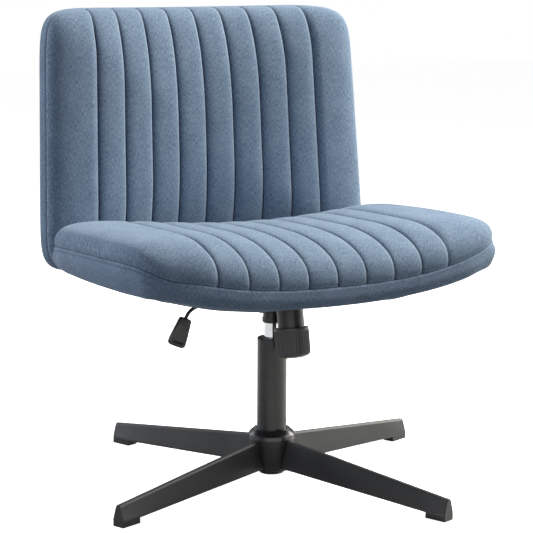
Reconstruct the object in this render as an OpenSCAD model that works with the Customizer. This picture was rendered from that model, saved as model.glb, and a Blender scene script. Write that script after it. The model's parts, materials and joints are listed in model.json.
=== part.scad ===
// Swivel office chair without arms: channel-stitched seat and back on a tilting
// gas-lift pedestal with a four-legged pressed-steel base.
// Millimetres. The origin is on the floor on the column's axis; the sitter faces -Y,
// +X is the sitter's left, +Z is up. The chair stands at the lowest setting of its lift.

/* [Seat cushion] */
// Width of the seat over its border seam
seat_w = 694; // [640:1:730]
// Depth of the seat over its border seam
seat_d = 423; // [390:1:450]
// Distance from the column's axis forward to the middle of the seat
seat_forward = 4.6; // [0:0.1:15]
// Height of the border seam above the floor at the middle of the seat
seat_seam_z = 364.2; // [355:0.1:380]
// Rise of the border seam at the sides of the dished seat
seat_side_rise = 42.6; // [30:0.1:50]
// Rise of the front edge over the middle of the seat
seat_front_rise = 2.8; // [0:0.1:8]
// Height of the crowned top over the border seam
seat_crown = 70.4; // [60:0.1:80]
// Depth of the seat board's underside below the border seam
seat_drop = 35.2; // [34:0.1:44]
// How far the border seam sags at the middle of the seat's front and rear
seam_sag = 5.3; // [0:0.1:8]
// Depth of the rolled rim under the border seam
rim_depth = 33.4; // [30:0.1:36]
// Squareness of the seat's plan, 2 is an ellipse
seat_square = 4.58; // [3.5:0.01:6]

/* [Back cushion] */
// Width of the back at mid height over its border seam
back_w = 603; // [560:1:620]
// Height of the back over its border seam
back_h = 457.6; // [420:0.1:480]
// Change of the back's half width for each millimetre of height
back_taper = 0.044; // [0:0.001:0.06]
// Distance from the column's axis back to the middle of the border seam
back_y = 307.2; // [300:0.1:320]
// Height of the back's lower edge over the underside of its brackets
back_over_bracket = 4.1; // [4:0.1:12]
// Recline of the back from the vertical, in degrees
back_recline = 3.6; // [2:0.1:6]
// Forward sweep of the border seam at the sides of the curved back
back_side_sweep = 63.9; // [50:0.1:66]
// Fullness of the front over the border seam
back_crown = 72.5; // [64:0.1:76]
// Squareness of the back's outline
back_square = 12; // [8:0.5:14]

/* [Stitched channels] */
// Number of narrow channels across the seat and the back
channels = 8; // [6:2:8]
// Width of one channel, seam to seam
channel_w = 53.2; // [48:0.1:56]
// Depth of the stitched grooves
channel_depth = 7; // [3:0.1:9]

/* [Boards] */
// Thickness of the bent plywood boards
board_t = 12; // [9:0.5:14]
// Half width of the flat middle of the seat board
board_flat = 124; // [121:0.5:150]
// Bending radius of the seat board's wings
board_bend_r = 1200; // [1100:10:1600]
// Radius of the curved back board
back_board_r = 862; // [820:1:900]
// Distance of the back board's front behind the border seam's middle
back_board_in = 3.5; // [3:0.5:8]
// Thickness of the upholstered rear panel of the back
rear_panel_t = 5; // [4:0.5:8]
// Thickness of the woven dust cover under the seat
dust_t = 1.2; // [0.8:0.1:2]

/* [Base] */
// Radius from the column's axis to the end of a foot
base_r = 366.2; // [340:0.1:380]
// Direction of the front leg, in degrees from +X
leg_turn = -69.3; // [-90:0.1:-45]
// Height of a leg's end over the floor
leg_end_z = 34.7; // [30:0.1:38]
// Height of a leg's ridge where it meets the hub
leg_hub_z = 72; // [60:0.5:76]
// Height of a leg's lower edge where it meets the hub
leg_low_z = 24; // [12:0.5:30]
// Width of a leg at its open underside
leg_w = 21.5; // [19:0.5:25]
// Width of a leg's ridge
leg_ridge_w = 8; // [6:0.1:11]
// Wall thickness of a leg
leg_wall = 1.6; // [1.2:0.1:2.2]
// Length of a foot block
foot_l = 38; // [30:0.5:46]
// Height of a foot block under the leg
foot_h = 8.9; // [8:0.1:14]
// Radius of the hub's cover
hub_r = 39.5; // [37:0.1:42]
// Height of the hub's cover over the floor
hub_top_z = 89; // [84:0.5:96]

/* [Column and gas lift] */
// Outer radius of the column tube
column_r = 25; // [24:0.1:26]
// Wall thickness of the column tube
column_wall = 2; // [1.5:0.1:2.5]
// Height of the column tube's top
column_top_z = 241; // [236:0.5:246]
// Radius of the gas cylinder
cylinder_r = 14; // [13.5:0.1:14.5]
// Radius of the piston rod
rod_r = 5; // [4:0.1:6]
// Travel of the gas lift
lift_travel = 100; // [80:1:100]

/* [Tilt mechanism] */
// Half width of the mechanism's channel over its walls
chassis_half_w = 38; // [36:0.5:42]
// Thickness of the mechanism's pressed steel
steel_t = 2.5; // [2:0.1:3]
// Distance of the tilt shaft behind the column's axis
pivot_y = 42; // [40:0.5:48]
// Distance of the tilt shaft under the seat plate's top
pivot_under = 23; // [21:0.1:25]
// Radius of the tilt shaft
shaft_r = 6; // [5:0.1:7]
// Depth of the mechanism under the seat plate's top
chassis_under = 34.8; // [33:0.1:38]
// Depth of the tension bolt's datum, low in the spring cup, under the seat plate's top
bolt_under = 43.8; // [42:0.1:46]
// Distance between the seat bolts from side to side
bolt_span_x = 160; // [150:1:166]
// Distance between the seat bolts from front to rear
bolt_span_y = 200; // [180:1:210]

/* [Tension knob] */
// Radius of the ribbed tension knob
knob_r = 28.5; // [26:0.1:30]
// Height of the tension knob without its domed end
knob_h = 46; // [44:0.5:50]
// Number of grip ribs round the knob
knob_ribs = 40; // [24:2:48]
// Distance of the tension bolt in front of the column's axis
knob_forward = 62.5; // [60:0.5:68]
// Lean of the tension bolt, in degrees
knob_lean = 10; // [8:0.5:11]
// Outer radius of the spring cup
cup_r = 22.2; // [21:0.1:23]

/* [Lever] */
// Radius of the lever's rod
lever_r = 3; // [2.5:0.1:3.4]
// Reach of the lever's rod from the column's axis to its bend
lever_reach = 134; // [126:1:146]
// Drop of the lever's grip below the horizontal, in degrees
lever_drop = 67; // [60:1:80]
// Length of the lever's grip
grip_l = 49; // [42:1:60]
// Width of the grip's flared end
grip_w = 33; // [28:0.5:38]

/* [Hidden] */

$fn = 64;
run = 0.05;     // radial clearance of a running fit
near = 0.3;     // clearance between pieces that only lie against each other
eps = 0.01;

fabric = [0.32, 0.42, 0.57];
steel_black = [0.12, 0.12, 0.13];
plastic_black = [0.1, 0.1, 0.11];
zinc = [0.7, 0.71, 0.73];
chrome = [0.85, 0.86, 0.88];
plywood = [0.76, 0.62, 0.42];
rubber = [0.07, 0.07, 0.07];

seat_half_w = seat_w / 2;
seat_half_d = seat_d / 2;
seat_base_z = seat_seam_z - seat_drop;       // underside of the seat board
plate_z = seat_base_z - dust_t;              // top of the seat plate
plate_low_z = plate_z - steel_t;             // underside of the seat plate
chassis_z = plate_z - chassis_under;         // underside of the mechanism
pivot_z = plate_z - pivot_under;             // height of the tilt shaft
bolt_z = plate_z - bolt_under;               // datum of the tension bolt's axis
pocket = 0.82;                               // share of a cushion's plan that its board fills
rim_square = 2.8;                            // squareness of a cushion's rolled under-edge
crown_square = 2.6;                          // roundness of a cushion's crown
back_half_w = back_w / 2;
back_half_h = back_h / 2;
back_pocket = 0.93;                          // share of the back's outline that its board fills

// ---------- shared shapes ----------

// Half depth of a superellipse at u, both as shares of the full size.
function half_depth(u, n) = pow(max(0, 1 - pow(abs(u), n)), 1 / n);
// Radius share of a point of a superellipse.
function radius_share(u, v, n) = pow(pow(abs(u), n) + pow(abs(v), n), 1 / n);
// Height at x of a level in a sheet that is flat in the middle; its wings lie on an arc of
// radius r whose centre is over the middle.
function arc_rise(flat, r) = r - sqrt(r * r - flat * flat);
function sheet_z(x, level, flat, r) =
  abs(x) <= flat ? level : r - arc_rise(flat, r) - sqrt(pow(r - level, 2) - x * x);

// Stations across a cushion: four for each channel, then the plain side panels.
channel_steps = [0, 0.16, 0.5, 0.84];
side_steps = [0.09, 0.32, 0.57, 0.77, 0.885, 0.95, 0.985, 0.9975, 0.9999];
channel_edge = channels / 2 * channel_w;
function stations(half_w) = [
  for (s = [len(side_steps) - 1 : -1 : 0]) -(channel_edge + side_steps[s] * (half_w - channel_edge)),
  for (c = [0 : channels - 1], s = channel_steps) (c - channels / 2 + s) * channel_w,
  channel_edge,
  for (s = side_steps) channel_edge + s * (half_w - channel_edge)
];
row_count = 15;
function row_share(j) = sin(180 * j / (row_count - 1) - 90);

// Groove of the stitched channels at x, fading towards the border seam.
function groove(x, share) =
  let (t = x / channel_w - floor(x / channel_w), past = abs(x) - channel_edge)
  -channel_depth * (1 - pow(share, 10))
  * (past < 0 ? 1 - sqrt(sin(180 * t)) : pow(max(0, 1 - past / 14), 2));

// Border loop of a cushion's grid, counter-clockwise from above, as [column, row].
function loop_ids(cols) = [
  for (i = [0 : cols - 1]) [i, 0],
  for (j = [1 : row_count - 1]) [cols - 1, j],
  for (i = [cols - 2 : -1 : 0]) [i, row_count - 1],
  for (j = [row_count - 2 : -1 : 1]) [0, j]
];
// Plan point of a cushion's grid. Its sides draw in by taper for each unit of y.
function plan_point(x, share, half_w, half_d, n, taper) =
  let (y = half_d * half_depth(x / half_w, n) * share)
  [x * (1 - taper * y / half_w), y];
function plan_loop(half_w, half_d, n, taper) =
  let (xs = stations(half_w))
  [for (p = loop_ids(len(xs))) plan_point(xs[p[0]], row_share(p[1]), half_w, half_d, n, taper)];

// An upholstered pad: a crowned, channelled top, a rolled under-edge, and a pocket for its board.
// seam(x, y, r) is the height of the border seam (r = 1) and of the datum inside it, and
// under(x, y, q) the pad's underside at q, the share of the rim's width out from the pocket.
// The rim is at its lowest from q = low inward. roof(x) is the pocket's roof, and share the
// part of the plan that the pocket takes.
module pad(half_w, half_d, n, taper, crown, share, low, seam, under, roof) {
  xs = stations(half_w);
  cols = len(xs);
  top = [for (x = xs, j = [0 : row_count - 1])
    let (
      p = plan_point(x, row_share(j), half_w, half_d, n, taper),
      r = min(1, radius_share(x / half_w, p[1] / half_d, n))
    )
    [p[0], p[1], seam(p[0], p[1], r) + crown * half_depth(r, crown_square) + groove(x, r)]];
  border = [for (p = loop_ids(cols)) p[0] * row_count + p[1]];
  plan = plan_loop(half_w, half_d, n, taper);
  count = len(plan);
  rim_steps = concat([for (q = [0.965, 0.84, 0.58, 0.28, 0]) low + (1 - low) * q], low > 0 ? [low * 0.45, 0] : []);
  rim = [for (q = rim_steps, p = plan)
    let (
      k = share + (1 - share) * q,
      edge = seam(k * p[0], k * p[1], 1),
      roll = half_depth(max(0, (q - low) / (1 - low)), rim_square)
    )
    [k * p[0], k * p[1], edge + (under(k * p[0], k * p[1], q) - edge) * roll]];
  roof_shares = [share, share * 0.66, share * 0.33];
  inside = [for (k = roof_shares, p = plan) [k * p[0], k * p[1], roof(k * p[0])]];
  points = concat(top, rim, inside, [[0, 0, roof(0)]]);
  first = len(top);
  rings = len(rim_steps) + len(roof_shares);
  function ring_id(k, l) = k < 0 ? border[l % count] : first + k * count + l % count;
  last = len(points) - 1;
  faces = concat(
    [for (i = [0 : cols - 2], j = [0 : row_count - 2])
      let (a = i * row_count + j) each [[a, a + 1, a + row_count + 1], [a, a + row_count + 1, a + row_count]]],
    [for (k = [-1 : rings - 2], l = [0 : count - 1])
      each [[ring_id(k, l), ring_id(k, l + 1), ring_id(k + 1, l + 1)],
            [ring_id(k, l), ring_id(k + 1, l + 1), ring_id(k + 1, l)]]],
    [for (l = [0 : count - 1]) [ring_id(rings - 1, l), ring_id(rings - 1, l + 1), last]]
  );
  polyhedron(points, faces, convexity = 8);
}

// Cross-section of a bent sheet from low to high over its datum: flat, with a wing at each side.
module sheet_section(flat, r, low, high, reach) {
  if (flat > 0) translate([-flat - eps, low]) square([2 * flat + 2 * eps, high - low]);
  for (side = [-1, 1]) intersection() {
    translate([0, r - arc_rise(flat, r)]) difference() {
      circle(r - low, $fn = 720);
      circle(r - high, $fn = 720);
    }
    translate([side > 0 ? flat : -flat - reach, low - eps]) square([reach, r / 2]);
  }
}

// ---------- seat ----------

seat_bend_per_x2 = seat_side_rise / pow(seat_half_w, 2);
seat_slope = seat_front_rise / seat_half_d;
seat_board_gap = near;

function seat_outline(inset) = [for (p = plan_loop(seat_half_w, seat_half_d, seat_square, 0))
  [p[0] * (pocket - inset / seat_half_w), p[1] * (pocket - inset / seat_half_d)]];

// A bent sheet of the seat between two levels over the board's underside.
module seat_sheet(low, high, inset) {
  translate([0, -seat_forward, seat_base_z]) intersection() {
    rotate([90, 0, 0]) translate([0, 0, -seat_half_d])
      linear_extrude(2 * seat_half_d) sheet_section(board_flat, board_bend_r, low, high, seat_half_w);
    translate([0, 0, -20]) linear_extrude(seat_side_rise + 60) polygon(seat_outline(inset));
  }
}

module at_seat_bolts() {
  for (x = [-1, 1], y = [-1, 1]) translate([x * bolt_span_x / 2, y * bolt_span_y / 2, 0]) children();
}

plate_half_x = bolt_span_x / 2 + 15;
plate_half_y = bolt_span_y / 2 + 18;
bracket_w = 30;
bracket_t = 3.5;
bracket_x = plate_half_x + 2 + bracket_w / 2; // middle of a back bracket
bracket_bolt_y = [seat_half_d - 139.5, seat_half_d - 69.5];
bracket_foot_y = bracket_bolt_y[0] - 24; // the bracket's foot starts here under the board

module at_bracket_bolts() {
  for (x = [-1, 1], y = bracket_bolt_y) translate([x * bracket_x, y, 0]) children();
}

m6_r = 3;
nut_barrel_r = 4.4;
nut_flange_r = 9;
nut_flange_t = 1.2;

// The seat's border seam climbs to the sides and sags at the middle of the front and rear.
function seat_seam(x, y, r) = seat_seam_z + seat_bend_per_x2 * x * x - seat_slope * (y - seat_forward)
  - seam_sag * (1 - 1.43 * pow(x / seat_half_w, 2)) * pow(r, 16);
rim_swell = 9;            // how much deeper the rim is at the seat's two ends
rim_turn = 0.68;          // share of the rim's width where the rim turns in to the board
function seat_under(x, y, q) =
  let (board = seat_base_z + sheet_z(x, -dust_t, board_flat, board_bend_r),
    rim = seat_seam(x, y, 1) - rim_depth - rim_swell * pow(abs(x) / seat_half_w, 8), t = min(1, q / rim_turn))
  board + (rim - board) * t * t * (3 - 2 * t);
module seat_cushion() {
  color(fabric) translate([0, -seat_forward, 0])
    pad(seat_half_w, seat_half_d, seat_square, 0, seat_crown, pocket, rim_turn,
      function(x, y, r) seat_seam(x, y, r),
      function(x, y, q) seat_under(x, y, q),
      function(x) seat_base_z + sheet_z(x, board_t + near, board_flat, board_bend_r));
}

module seat_board() {
  color(plywood) difference() {
    seat_sheet(0, board_t, seat_board_gap);
    at_seat_bolts() translate([0, 0, seat_base_z - 1]) {
      cylinder(h = board_t + 2, r = nut_barrel_r + run);
      translate([0, 0, board_t + 1 - nut_flange_t - run]) cylinder(h = 3, r = nut_flange_r + run);
    }
    at_bracket_bolts() translate([0, 0, seat_base_z - 1]) {
      cylinder(h = board_t + 2, r = nut_barrel_r + run);
      translate([0, 0, board_t + 1 - nut_flange_t - run]) cylinder(h = 3, r = nut_flange_r + run);
    }
  }
}

module dust_cover() {
  color(rubber) difference() {
    seat_sheet(-dust_t, 0, seat_board_gap + 6);
    at_seat_bolts() translate([0, 0, plate_z - 1]) cylinder(h = dust_t + 2, r = nut_barrel_r);
    at_bracket_bolts() translate([0, 0, plate_z - 1]) cylinder(h = dust_t + 2, r = nut_barrel_r);
  }
}

module board_nuts() {
  color(zinc) {
    at_seat_bolts() board_nut();
    at_bracket_bolts() board_nut();
  }
}
module board_nut() {
  translate([0, 0, seat_base_z + 1]) difference() {
    union() {
      cylinder(h = board_t - 1, r = nut_barrel_r);
      translate([0, 0, board_t - 1 - nut_flange_t]) cylinder(h = nut_flange_t, r = nut_flange_r);
    }
    translate([0, 0, -1]) cylinder(h = board_t + 2, r = m6_r + run);
  }
}

module hex_bolt(head_t, shank_l) {
  rotate([0, 0, 30]) cylinder(h = head_t, r = 5.7, $fn = 6);
  translate([0, 0, head_t - eps]) cylinder(h = 1.2 + eps, r = 7.5);
  translate([0, 0, head_t + 1.2 - eps]) cylinder(h = shank_l, r = m6_r);
}
bolt_head_t = 4;
module seat_bolts() {
  color(zinc) at_seat_bolts() translate([0, 0, plate_low_z - bolt_head_t - 1.2])
    hex_bolt(bolt_head_t, steel_t + dust_t + board_t - 1.5);
}
module bracket_bolts() {
  color(zinc) at_bracket_bolts() translate([0, 0, plate_z - bracket_t - bolt_head_t - 1.2])
    hex_bolt(bolt_head_t, bracket_t + dust_t + board_t - 1.5);
}

// ---------- back ----------

back_bend_per_x2 = back_side_sweep / pow(back_half_w, 2);

// Places a shape drawn with the back lying face up: x across, y up the back, z to the front.
module stand_back() {
  translate([0, back_y, back_z]) rotate([90 - back_recline, 0, 0]) children();
}
function back_outline(inset) = [for (p = plan_loop(back_half_w, back_half_h, back_square, back_taper))
  [p[0] * (back_pocket - inset / back_half_w), p[1] * (back_pocket - inset / back_half_h)]];

// A curved sheet of the back between two depths, measured to the front of the seam's middle.
module back_sheet(low, high, inset) {
  intersection() {
    rotate([90, 0, 0]) translate([0, 0, -back_half_h])
      linear_extrude(2 * back_half_h) sheet_section(0, back_board_r, low, high, back_half_w);
    translate([0, 0, -60]) linear_extrude(180) polygon(back_outline(inset));
  }
}

board_front = -back_board_in;
board_rear = board_front - board_t;
back_bolt_head_t = 1.4;
// Behind its bolts a bracket steps down, to pass under the back's lower edge.
bracket_step = 5.8;
bracket_step_y = bracket_bolt_y[1] + 13;
bracket_low_z = plate_z - bracket_t - bracket_step;
back_z = bracket_low_z + back_over_bracket + back_half_h * cos(back_recline);
// Front face of the straight bracket, just behind the curved board's nearest edge.
bracket_front = sheet_z(bracket_x - bracket_w / 2, board_rear, 0, back_board_r) - near;
// The rear panel's front clears the bolt heads at the bracket's outer edge.
head_rear = bracket_front - bracket_t - back_bolt_head_t - near;
panel_front = back_board_r
  - sqrt(pow(back_board_r - head_rear, 2) + pow(bracket_x + bracket_w / 2, 2));
back_rear = rear_panel_t - panel_front;      // rear face behind the seam's middle
back_bolt_v = [-150, -90];
bracket_top_v = -66;

module at_back_bolts() {
  for (x = [-1, 1], v = back_bolt_v) translate([x * bracket_x, v, 0]) children();
}

module back_cushion() {
  color(fabric) stand_back() difference() {
    pad(back_half_w, back_half_h, back_square, back_taper, back_crown, back_pocket, 0,
      function(x, y, r) back_bend_per_x2 * x * x,
      function(x, y, q) sheet_z(x, -back_rear, 0, back_board_r),
      function(x) sheet_z(x, board_front + near, 0, back_board_r));
    for (x = [-1, 1]) translate([x * bracket_x - bracket_w / 2 - near, -back_half_h - 5,
      bracket_front - bracket_t - near]) cube([bracket_w + 2 * near, 40, bracket_t + 2 * near]);
  }
}

module back_board() {
  color(plywood) stand_back() difference() {
    back_sheet(board_rear, board_front, near);
    at_back_bolts() translate([0, 0, board_rear - 5]) cylinder(h = board_t + 30, r = m6_r + run);
  }
}

module back_panel() {
  color(fabric) stand_back() back_sheet(-back_rear, panel_front, near);
}

// Where a point of the back's middle plane, v up it and w to its front, lies in [y, z].
function back_point(v, w) = [
  back_y + v * sin(back_recline) - w * cos(back_recline),
  back_z + v * cos(back_recline) + w * sin(back_recline)
];
function back_v_at(z, w) = (z - back_z - w * sin(back_recline)) / cos(back_recline);

module back_bracket() {
  bracket_rear = bracket_front - bracket_t;
  foot_z = plate_z - bracket_t;
  difference() {
    translate([-bracket_w / 2, 0, 0]) rotate([90, 0, 90]) linear_extrude(bracket_w) polygon([
      [bracket_foot_y, foot_z], [bracket_step_y, foot_z], [bracket_step_y + 9, bracket_low_z],
      back_point(back_v_at(bracket_low_z, bracket_rear), bracket_rear),
      back_point(bracket_top_v, bracket_rear), back_point(bracket_top_v, bracket_front),
      back_point(back_v_at(bracket_low_z + bracket_t, bracket_front), bracket_front),
      [bracket_step_y + 10.6, bracket_low_z + bracket_t], [bracket_step_y + 1.6, plate_z],
      [bracket_foot_y, plate_z]
    ]);
    for (y = bracket_bolt_y) translate([0, y, foot_z - 1]) cylinder(h = bracket_t + 2, r = m6_r + run);
    stand_back() for (v = back_bolt_v) translate([0, v, bracket_rear - 1])
      cylinder(h = bracket_t + 2, r = m6_r + run);
  }
}

module back_bracket_left() { color(steel_black) translate([bracket_x, 0, 0]) back_bracket(); }
module back_bracket_right() { color(steel_black) translate([-bracket_x, 0, 0]) back_bracket(); }
module back_bolts() {
  color(zinc) stand_back() at_back_bolts()
    translate([0, 0, bracket_front - bracket_t - back_bolt_head_t]) {
      cylinder(h = sheet_z(bracket_x - m6_r, board_front, 0, back_board_r)
        - bracket_front + bracket_t + back_bolt_head_t, r = m6_r);
      cylinder(h = back_bolt_head_t, r = 6.5);
    }
}

// ---------- base ----------

collar_z = 12;            // underside of the hub's lower collar
hub_floor_z = 19.2;       // underside of the hub's cone
hub_cone_z = leg_hub_z + 1; // where the cover starts
hub_low_r = 33.2;
collar_r = 21.5;
collar_bore_r = 15;
tube_seat_z = 24;         // the column tube stands here in the hub
cover_wall = 2;
cover_chamfer = 9;

module base_hub() {
  color(steel_black) rotate_extrude() polygon([
    [collar_bore_r, collar_z], [collar_r - 1.5, collar_z], [collar_r, collar_z + 1.5],
    [collar_r, hub_floor_z], [hub_low_r - 1.5, hub_floor_z], [hub_low_r, hub_floor_z + 1.5],
    [hub_r, hub_cone_z], [column_r + 4, hub_cone_z], [column_r + 4, hub_top_z - 3.2],
    [column_r, hub_top_z - 3.2], [column_r, tube_seat_z], [collar_bore_r, tube_seat_z]
  ]);
}

module hub_cover() {
  slope_r = column_r + 5.3;
  // the shoulder swells a little between the wall and the flat top
  shoulder = [for (k = [0 : 6]) let (t = k / 6)
    [hub_r + (slope_r - hub_r) * t + 0.5 * sin(180 * t), hub_top_z - cover_chamfer * (1 - t) + 0.4 * sin(180 * t)
      * (1 - t)]];
  color(zinc) rotate_extrude() polygon(concat(
    [[hub_r - cover_wall, hub_cone_z], [hub_r, hub_cone_z]], shoulder,
    [[column_r + 0.2, hub_top_z], [column_r + 0.2, hub_top_z - 2],
    [column_r + 4.5, hub_top_z - 3], [hub_r - cover_wall, hub_top_z - cover_chamfer - 1.2]]
  ));
}

leg_lip = 3;              // straight lower edge of a leg's wall
leg_start = 30;           // a leg reaches this far in before the hub cuts it
foot_plate_t = 3;

foot_x = base_r - foot_l; // a foot starts here, and a leg's lower edge is level over it
// Height of a leg's lower edge at x.
function leg_low_at(x) = foot_h + (leg_low_z - foot_h) * max(0, foot_x - x) / (foot_x - hub_r);
// Sections of a leg from one x to another, with one where its lower edge turns level.
function leg_stations(from, to) =
  let (ends = from < foot_x && foot_x < to ? [from, foot_x, to] : [from, to])
  [for (s = [0 : len(ends) - 2])
    let (a = ends[s], b = ends[s + 1], n = ceil((b - a) / 42)) each [for (i = [0 : n - 1]) a + (b - a) * i / n], to];
// Cross-section of a leg at x, open side down, drawn in by inset for its hollow.
function leg_section(x, inset) =
  let (
    top_z = leg_hub_z + (leg_end_z - leg_hub_z) * (x - hub_r) / (base_r - hub_r) - inset,
    low = leg_w / 2 - inset,
    ridge = leg_ridge_w / 2 - inset * 0.4,
    low_z = leg_low_at(x),
    z0 = inset > 0 ? low_z - 1 : low_z
  )
  [[x, -low, z0], [x, low, z0], [x, low, low_z + leg_lip], [x, ridge + 0.9, top_z - 3],
   [x, ridge - 1, top_z], [x, -ridge + 1, top_z], [x, -ridge - 0.9, top_z - 3],
   [x, -low, low_z + leg_lip]];
module leg_run(from, to, inset) {
  xs = leg_stations(from, to);
  runs = len(xs) - 1;
  rings = [for (x = xs) leg_section(x, inset)];
  points = [for (r = rings, p = r) p];
  n = len(rings[0]);
  polyhedron(points, concat(
    [[for (k = [0 : n - 1]) k]],
    [for (i = [0 : runs - 1], k = [0 : n - 1]) let (a = i * n, m = (k + 1) % n)
      each [[a + k, a + n + m, a + m], [a + k, a + n + k, a + n + m]]],
    [[for (k = [n - 1 : -1 : 0]) runs * n + k]]
  ), convexity = 4);
}
hub_flare = (hub_r - hub_low_r) / (hub_cone_z - hub_floor_z - 1.5);
module leg() {
  cut_h = leg_hub_z + 10;
  difference() {
    leg_run(leg_start, base_r - foot_plate_t, 0);
    leg_run(leg_start - 1, base_r - foot_plate_t + 1, leg_wall);
    cylinder(h = cut_h, r1 = hub_low_r - hub_flare * (hub_floor_z + 1.5),
      r2 = hub_r + hub_flare * (cut_h - hub_cone_z));
  }
}
module foot() {
  plug_gap = 0.5;
  plug_l = 30;
  translate([foot_x, -leg_w / 2, 0]) cube([foot_l, leg_w, foot_h]);
  leg_run(base_r - foot_plate_t, base_r, 0);
  leg_run(base_r - plug_l, base_r - foot_plate_t / 2, leg_wall + plug_gap);
}
module leg_front() { color(steel_black) rotate([0, 0, leg_turn]) leg(); }
module leg_right() { color(steel_black) rotate([0, 0, leg_turn + 90]) leg(); }
module leg_rear() { color(steel_black) rotate([0, 0, leg_turn + 180]) leg(); }
module leg_left() { color(steel_black) rotate([0, 0, leg_turn + 270]) leg(); }
module foot_front() { color(plastic_black) rotate([0, 0, leg_turn]) foot(); }
module foot_right() { color(plastic_black) rotate([0, 0, leg_turn + 90]) foot(); }
module foot_rear() { color(plastic_black) rotate([0, 0, leg_turn + 180]) foot(); }
module foot_left() { color(plastic_black) rotate([0, 0, leg_turn + 270]) foot(); }

// ---------- column and gas lift ----------

tube_floor_t = 3;
tube_floor_z = tube_seat_z + tube_floor_t;   // top of the tube's end plate
race_t = 1.5;
ball_r = 1.6;
ball_gap = near;
lower_race_z = tube_floor_z;
ball_z = lower_race_z + race_t + ball_r;
upper_race_z = ball_z + ball_r + ball_gap;
buffer_z = upper_race_z + race_t;
buffer_t = 9;
cylinder_z = buffer_z + buffer_t + 1.5;      // underside of the cylinder at its lowest
gland_t = 12;
bush_l = 78;
bush_flange_t = 3;
socket_z = column_top_z + 29; // underside of the taper socket
socket_collar_h = 8;
cylinder_top_z = socket_z + 29.4;
taper_top_r = cylinder_r - 1.1;
chamber_top_z = 262;
piston_t = 10;
piston_top_z = chamber_top_z - 12;
pin_r = 3.5;
pin_rise = 5.8;           // how far the valve pin stands over the cylinder
pin_l = 20;

module column_tube() {
  color(steel_black) rotate_extrude() polygon([
    [rod_r + near, tube_seat_z], [column_r, tube_seat_z], [column_r, column_top_z],
    [column_r - column_wall, column_top_z], [column_r - column_wall, tube_floor_z],
    [rod_r + near, tube_floor_z]
  ]);
}
module column_bush() {
  bore = cylinder_r + run;
  body = column_r - column_wall;
  color(plastic_black) rotate_extrude() polygon([
    [bore, column_top_z - bush_l], [body, column_top_z - bush_l], [body, column_top_z],
    [column_r, column_top_z], [column_r, column_top_z + bush_flange_t - 1],
    [column_r - 1, column_top_z + bush_flange_t], [bore, column_top_z + bush_flange_t]
  ]);
}
module ring(z, h, inner, outer) {
  translate([0, 0, z]) difference() {
    cylinder(h = h, r = outer);
    translate([0, 0, -1]) cylinder(h = h + 2, r = inner);
  }
}
module lower_race() { color(zinc) ring(lower_race_z, race_t, rod_r + 0.5, 14); }
module upper_race() { color(zinc) ring(upper_race_z, race_t, rod_r, 14); }
module bearing_balls() {
  balls = 12;
  race_r = 10;
  color(chrome) for (i = [0 : balls - 1]) rotate([0, 0, i * 360 / balls])
    translate([race_r, 0, ball_z]) sphere(ball_r, $fn = 24);
}
module rod_buffer() { color(rubber) ring(buffer_z, buffer_t, rod_r, 12.5); }
module piston_rod() {
  color(chrome) {
    translate([0, 0, hub_floor_z - 5]) cylinder(h = piston_top_z - piston_t - hub_floor_z + 5 + eps, r = rod_r);
    translate([0, 0, piston_top_z - piston_t]) cylinder(h = piston_t, r = cylinder_r - 1.5 - run);
  }
}
module rod_clip() { color(zinc) ring(hub_floor_z - 1, tube_seat_z - hub_floor_z + 0.7, rod_r, 11); }

module gas_cylinder() {
  bore = cylinder_r - 1.5;
  color(chrome) difference() {
    rotate_extrude() polygon([
      [0, cylinder_z], [cylinder_r, cylinder_z], [cylinder_r, socket_z],
      [taper_top_r, cylinder_top_z], [0, cylinder_top_z]
    ]);
    translate([0, 0, cylinder_z - 1]) cylinder(h = chamber_top_z - cylinder_z + 1, r = bore);
    translate([0, 0, cylinder_top_z - pin_l]) cylinder(h = pin_l + 1, r = pin_r + run);
  }
}
module cylinder_gland() {
  color(rubber) ring(cylinder_z, gland_t, rod_r + run, cylinder_r - 1.5);
}
module valve_pin() {
  color(plastic_black) translate([0, 0, cylinder_top_z + pin_rise - (pin_l - 0.2)]) {
    cylinder(h = pin_l - 1.2, r = pin_r);
    translate([0, 0, pin_l - 1.2 - eps]) cylinder(h = 1 + eps, r1 = pin_r, r2 = pin_r - 0.8);
  }
}

// ---------- tilt mechanism ----------

wall_out = chassis_half_w;
wall_in = chassis_half_w - steel_t;
chassis_front_y = -30;
chassis_rear_y = 62;
wall_top_z = plate_low_z - 7.5;
socket_r = 17;
rod_z = cylinder_top_z + pin_rise + near + lever_r; // height of the lever's rod
arm_t0 = 23.5;            // height of the spring arm along the bolt's axis
ear_in = wall_out + 1.5;
ear_out = ear_in + steel_t;

// Places a shape on the leaning axis of the tension bolt.
module on_bolt_axis() {
  translate([0, -knob_forward, bolt_z]) rotate([-knob_lean, 0, 0]) children();
}

module taper_socket() {
  color(steel_black) rotate_extrude() polygon([
    [cylinder_r + run, socket_z], [socket_r - 1, socket_z], [socket_r, socket_z + 1],
    [socket_r, socket_z + socket_collar_h], [socket_r - 1.5, socket_z + socket_collar_h],
    [socket_r - 1.5, cylinder_top_z - 1], [taper_top_r + 0.04 + run, cylinder_top_z - 1]
  ]);
}

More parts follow.
